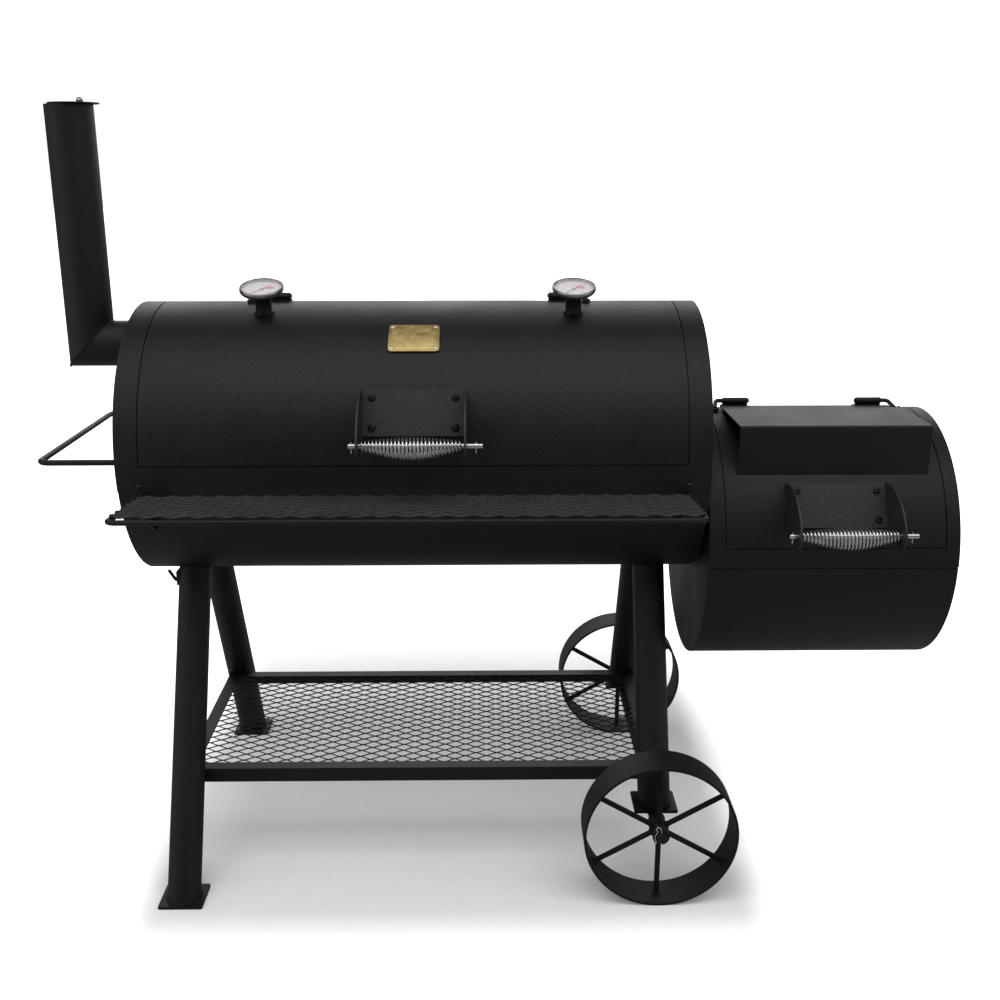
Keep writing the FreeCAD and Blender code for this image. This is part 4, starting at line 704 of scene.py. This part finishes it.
# ---- front shelf --------------------------------------------------------------------
# Round bar bent round three sides of a second panel of expanded steel, tipped up
# a little at the front, on two gusset plates welded to the barrel.
with_edges("front_shelf_rod", black_powder, 0.0003)
with_edges("front_shelf_brackets", black_powder, 0.0006)
tip = math.radians(5.6)
low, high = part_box("front_shelf_mesh")
slope = (high.y - low.y) / math.cos(tip)
front_short = 0.026
front_strand = 0.0046
front_lean = math.radians(38.0)
front_mesh = expanded_steel("front_shelf_panel", high.x - low.x - side_gap, slope, front_short, front_strand,
                            strand_wall, front_lean)
set_down(front_mesh, Matrix.Translation((low + high) / 2) @ Matrix.Rotation(-tip, 4, "X"))
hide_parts("front_shelf_mesh")
# the panel wears the lighter copy of the coat: painted highlight on its strands
finish_piece(front_mesh, "front_shelf_panel", lighter_powder_painted_highlight, "stand")

# ---- axle and wheels -----------------------------------------------------------------
# Flat steel tyre bands with six round spokes and a hub tube, all black, running
# on a black bar between washers. Bright wire R-clips hold them on.
for part in ("axle", "axle_brackets"):
    with_edges(part, black_powder, 0.0004)
# the bands carry a thick second coat, darker and more mottled than the body's
tyre_black = powder_coat("steel_black_powder_coat_heavy", "#060606", "#121212", 0.5, 0.9)
spoke_turns = [math.radians(90.0 + 60.0 * i) for i in range(6)]
spoke_weld = 0.0052
spoke_bead = 0.0019
weld_at_hub = 0.0142
weld_from_rim = 0.0052
for part in ("wheel_front", "wheel_rear"):
    with_edges(part, tyre_black, 0.0009)
    low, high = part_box(part)
    hub = (low + high) / 2
    collars = []
    for turn in spoke_turns:
        out = Vector((math.cos(turn), 0.0, math.sin(turn)))
        flat = Vector((-out.z, 0.0, out.x))
        for reach in (weld_at_hub, (high.z - low.z) / 2 - weld_from_rim):
            collars.append(ring(hub + out * reach, Vector((0.0, spoke_weld, 0.0)), flat * spoke_weld, 18))
    weld_bead(part + "_spoke_welds", collars, spoke_bead, part)


def clip_wire(name, at, side):
    """R-clip: a straight leg through the axle, a loop on top and a waved leg round it."""
    line = bpy.data.curves.new(name, "CURVE")
    line.dimensions = "3D"
    line.bevel_depth = 0.0011
    line.bevel_resolution = 2
    run = line.splines.new("NURBS")
    route = [(0.0, -0.0125), (0.0, 0.0), (0.0, 0.0115), (0.0018, 0.0172), (0.0058, 0.0192), (0.0088, 0.0158),
             (0.0072, 0.0122), (0.0052, 0.0102), (0.0098, 0.0044), (0.0104, -0.0034), (0.0072, -0.0082),
             (0.0094, -0.0128)]
    run.points.add(len(route) - 1)
    for point, (x, z) in zip(run.points, route):
        point.co = (at.x + side * x, at.y, at.z + z, 1.0)
    run.use_endpoint_u = True
    run.order_u = 3
    piece = bpy.data.objects.new(name, line)
    bpy.context.scene.collection.objects.link(piece)
    only(piece)
    bpy.ops.object.convert(target="MESH")
    piece = bpy.context.object
    bpy.ops.object.shade_smooth()
    return piece


low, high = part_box("axle")
clip_edge = 0.0045
wheel_half = 0.298
hub_half = 0.024
axle_mid = (low + high) / 2
for name, side in (("front", -1), ("rear", 1)):
    end = Vector((axle_mid.x, (low.y + clip_edge) if side < 0 else (high.y - clip_edge), axle_mid.z))
    clip = clip_wire("axle_clip_" + name, end, -1.0)
    if side < 0:
        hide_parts("wheel_clips")
    finish_piece(clip, "axle_clip_" + name, bright_steel, "stand")
    for place in (-1, 1):
        disc = turned([(0.00805, 0.0), (0.0134, 0.0), (0.014, 0.0005), (0.014, 0.002), (0.0134, 0.0025),
                       (0.00805, 0.0025)], 36)
        away = axle_mid.y + side * wheel_half + place * (hub_half + 0.00175) + 0.00125
        set_down(disc, Matrix.Translation(Vector((axle_mid.x, away, axle_mid.z)))
                 @ Matrix.Rotation(math.pi / 2, 4, "X"))
        finish_piece(disc, f"hub_washer_{name}_{'out' if place * side > 0 else 'in'}", black_powder, "stand")

# ---- grates ----------------------------------------------------------------------------
# Flat slotted grates of seasoned iron lie loose on angle rails: two for the
# food and a heavy one for the fire, with a scaly brown-black skin.
iron = powder_coat("cast_iron_seasoned", "#0c0b0a", "#1f1813", 0.5, 0.8)
for part in ("cooking_grate_left", "cooking_grate_right", "charcoal_grate"):
    with_edges(part, iron, 0.0008)
with_edges("grate_rails", black_powder, 0.0004)

# ---- studio ------------------------------------------------------------------
# A pale seamless floor, a white surround and one big soft box over the front.
bpy.ops.mesh.primitive_plane_add(size=60.0, location=(0.0, 0.0, 0.0))
floor = bpy.context.object
floor.name = "studio_floor"
pale = new_material("floor_pale_paper")
fibres = node(pale, "ShaderNodeTexNoise", {"Scale": 30.0, "Detail": 3.0},
              {"Vector": node(pale, "ShaderNodeTexCoord").outputs["Object"]})
paper = node(pale, "ShaderNodeBsdfDiffuse", {"Roughness": 1.0},
             {"Color": shades(pale, fibres.outputs["Fac"], 0.3, 0.7, grey(0.71), grey(0.73))})
# painted light: for the camera the paper glows except in a zone round the object, which stays grey as a painted
# shadow, so that it meets the white surround
spot = node(pale, "ShaderNodeSeparateXYZ", links={"Vector": node(pale, "ShaderNodeTexCoord").outputs["Object"]})
aside = node(pale, "ShaderNodeMath", {"operation": "ADD", 1: 0.09}, {0: spot.outputs["X"]})
aside = node(pale, "ShaderNodeMath", {"operation": "ABSOLUTE"}, {0: aside.outputs["Value"]})


def brighter(source, start, full, strength):
    """Strength that rises smoothly from nothing at the start distance."""
    return node(pale, "ShaderNodeMapRange", {"interpolation_type": "SMOOTHSTEP", "From Min": start, "From Max": full,
                                             "To Min": 0.0, "To Max": strength}, {"Value": source}).outputs["Result"]


# emission ramps: painted light on the floor away from the object, painted shadow left beneath it
painted_glow_ramps = (brighter(aside.outputs["Value"], 0.465, 0.555, 0.6), brighter(spot.outputs["Y"], -0.29, -0.4, 0.42),
         brighter(spot.outputs["Y"], -0.14, 0.06, 0.1), brighter(spot.outputs["Y"], 0.3, 1.1, 0.5))
painted_glow_strength = painted_glow_ramps[0]
for rise in painted_glow_ramps[1:]:
    painted_glow_strength = node(pale, "ShaderNodeMath", {"operation": "ADD"}, {0: painted_glow_strength, 1: rise}).outputs["Value"]
floor_painted_glow = node(pale, "ShaderNodeEmission", {"Color": grey(1.0)}, {"Strength": painted_glow_strength})
lit = node(pale, "ShaderNodeAddShader", links={0: paper.outputs["BSDF"], 1: floor_painted_glow.outputs["Emission"]})
# what the object sees of the floor is a darker copy of the paper: painted shade, so the floor bounces and mirrors
# less light onto it
floor_painted_dim = node(pale, "ShaderNodeBsdfDiffuse", {"Color": grey(0.22)})
ray = node(pale, "ShaderNodeLightPath")
both = node(pale, "ShaderNodeMixShader", links={"Fac": ray.outputs["Is Camera Ray"], 1: floor_painted_dim.outputs["BSDF"],
                                               2: lit.outputs["Shader"]})
node(pale, "ShaderNodeOutputMaterial", links={"Surface": both.outputs["Shader"]})
floor.data.materials.append(pale)

world = bpy.data.worlds.new("white_studio")
bpy.context.scene.world = world
world.use_nodes = True
sky = world.node_tree
sky.nodes.clear()
seen = sky.nodes.new("ShaderNodeLightPath")
gloss = sky.nodes.new("ShaderNodeMix")
gloss.data_type = "FLOAT"
sky.links.new(seen.outputs["Is Glossy Ray"], gloss.inputs["Factor"])
gloss.inputs["A"].default_value = 0.8
gloss.inputs["B"].default_value = 0.1
level = sky.nodes.new("ShaderNodeMix")
level.data_type = "FLOAT"
sky.links.new(seen.outputs["Is Camera Ray"], level.inputs["Factor"])
sky.links.new(gloss.outputs["Result"], level.inputs["A"])
level.inputs["B"].default_value = 1.1
glow = sky.nodes.new("ShaderNodeBackground")
glow.inputs["Color"].default_value = grey(1.0)
sky.links.new(level.outputs["Result"], glow.inputs["Strength"])
out = sky.nodes.new("ShaderNodeOutputWorld")
sky.links.new(glow.outputs["Background"], out.inputs["Surface"])


def soft_box(name, place, aim, width, depth, power):
    """Area light that faces a point and stays out of the picture."""
    lamp = bpy.data.lights.new(name, "AREA")
    lamp.shape = "RECTANGLE"
    lamp.size = width
    lamp.size_y = depth
    lamp.energy = power
    box = bpy.data.objects.new(name, lamp)
    box.location = place
    box.rotation_euler = (aim - place).to_track_quat("-Z", "Y").to_euler()
    box.visible_camera = False
    bpy.context.scene.collection.objects.link(box)


soft_box("soft_box_top", Vector((0.0, -1.2, 3.2)), Vector((0.0, 0.0, 0.7)), 4.5, 1.8, 48.0)
soft_box("soft_box_back", Vector((0.0, 4.0, 2.4)), Vector((0.0, 0.0, 0.7)), 7.0, 1.8, 80.0)
soft_box("soft_box_left", Vector((-3.6, -1.2, 1.3)), Vector((0.0, 0.0, 0.7)), 2.4, 2.6, 16.0)
soft_box("soft_box_right", Vector((3.8, -1.2, 1.3)), Vector((0.0, 0.0, 0.7)), 2.4, 2.6, 14.0)

camera_pitch = math.radians(90.0 - 16.36)
camera_turn = math.radians(-0.75)
camera_from_barrel = Vector((0.1098, -1.9444, 0.4485))
lens = bpy.data.cameras.new("camera")
lens.lens = 41.34
lens.sensor_width = 36.0
lens.clip_end = 100.0
camera = bpy.data.objects.new("camera", lens)
camera.location = barrel_middle + camera_from_barrel
camera.rotation_euler = (camera_pitch, 0.0, camera_turn)
bpy.context.scene.collection.objects.link(camera)
bpy.context.scene.camera = camera
bpy.context.scene.view_settings.view_transform = "Standard"
bpy.context.scene.cycles.use_denoising = True
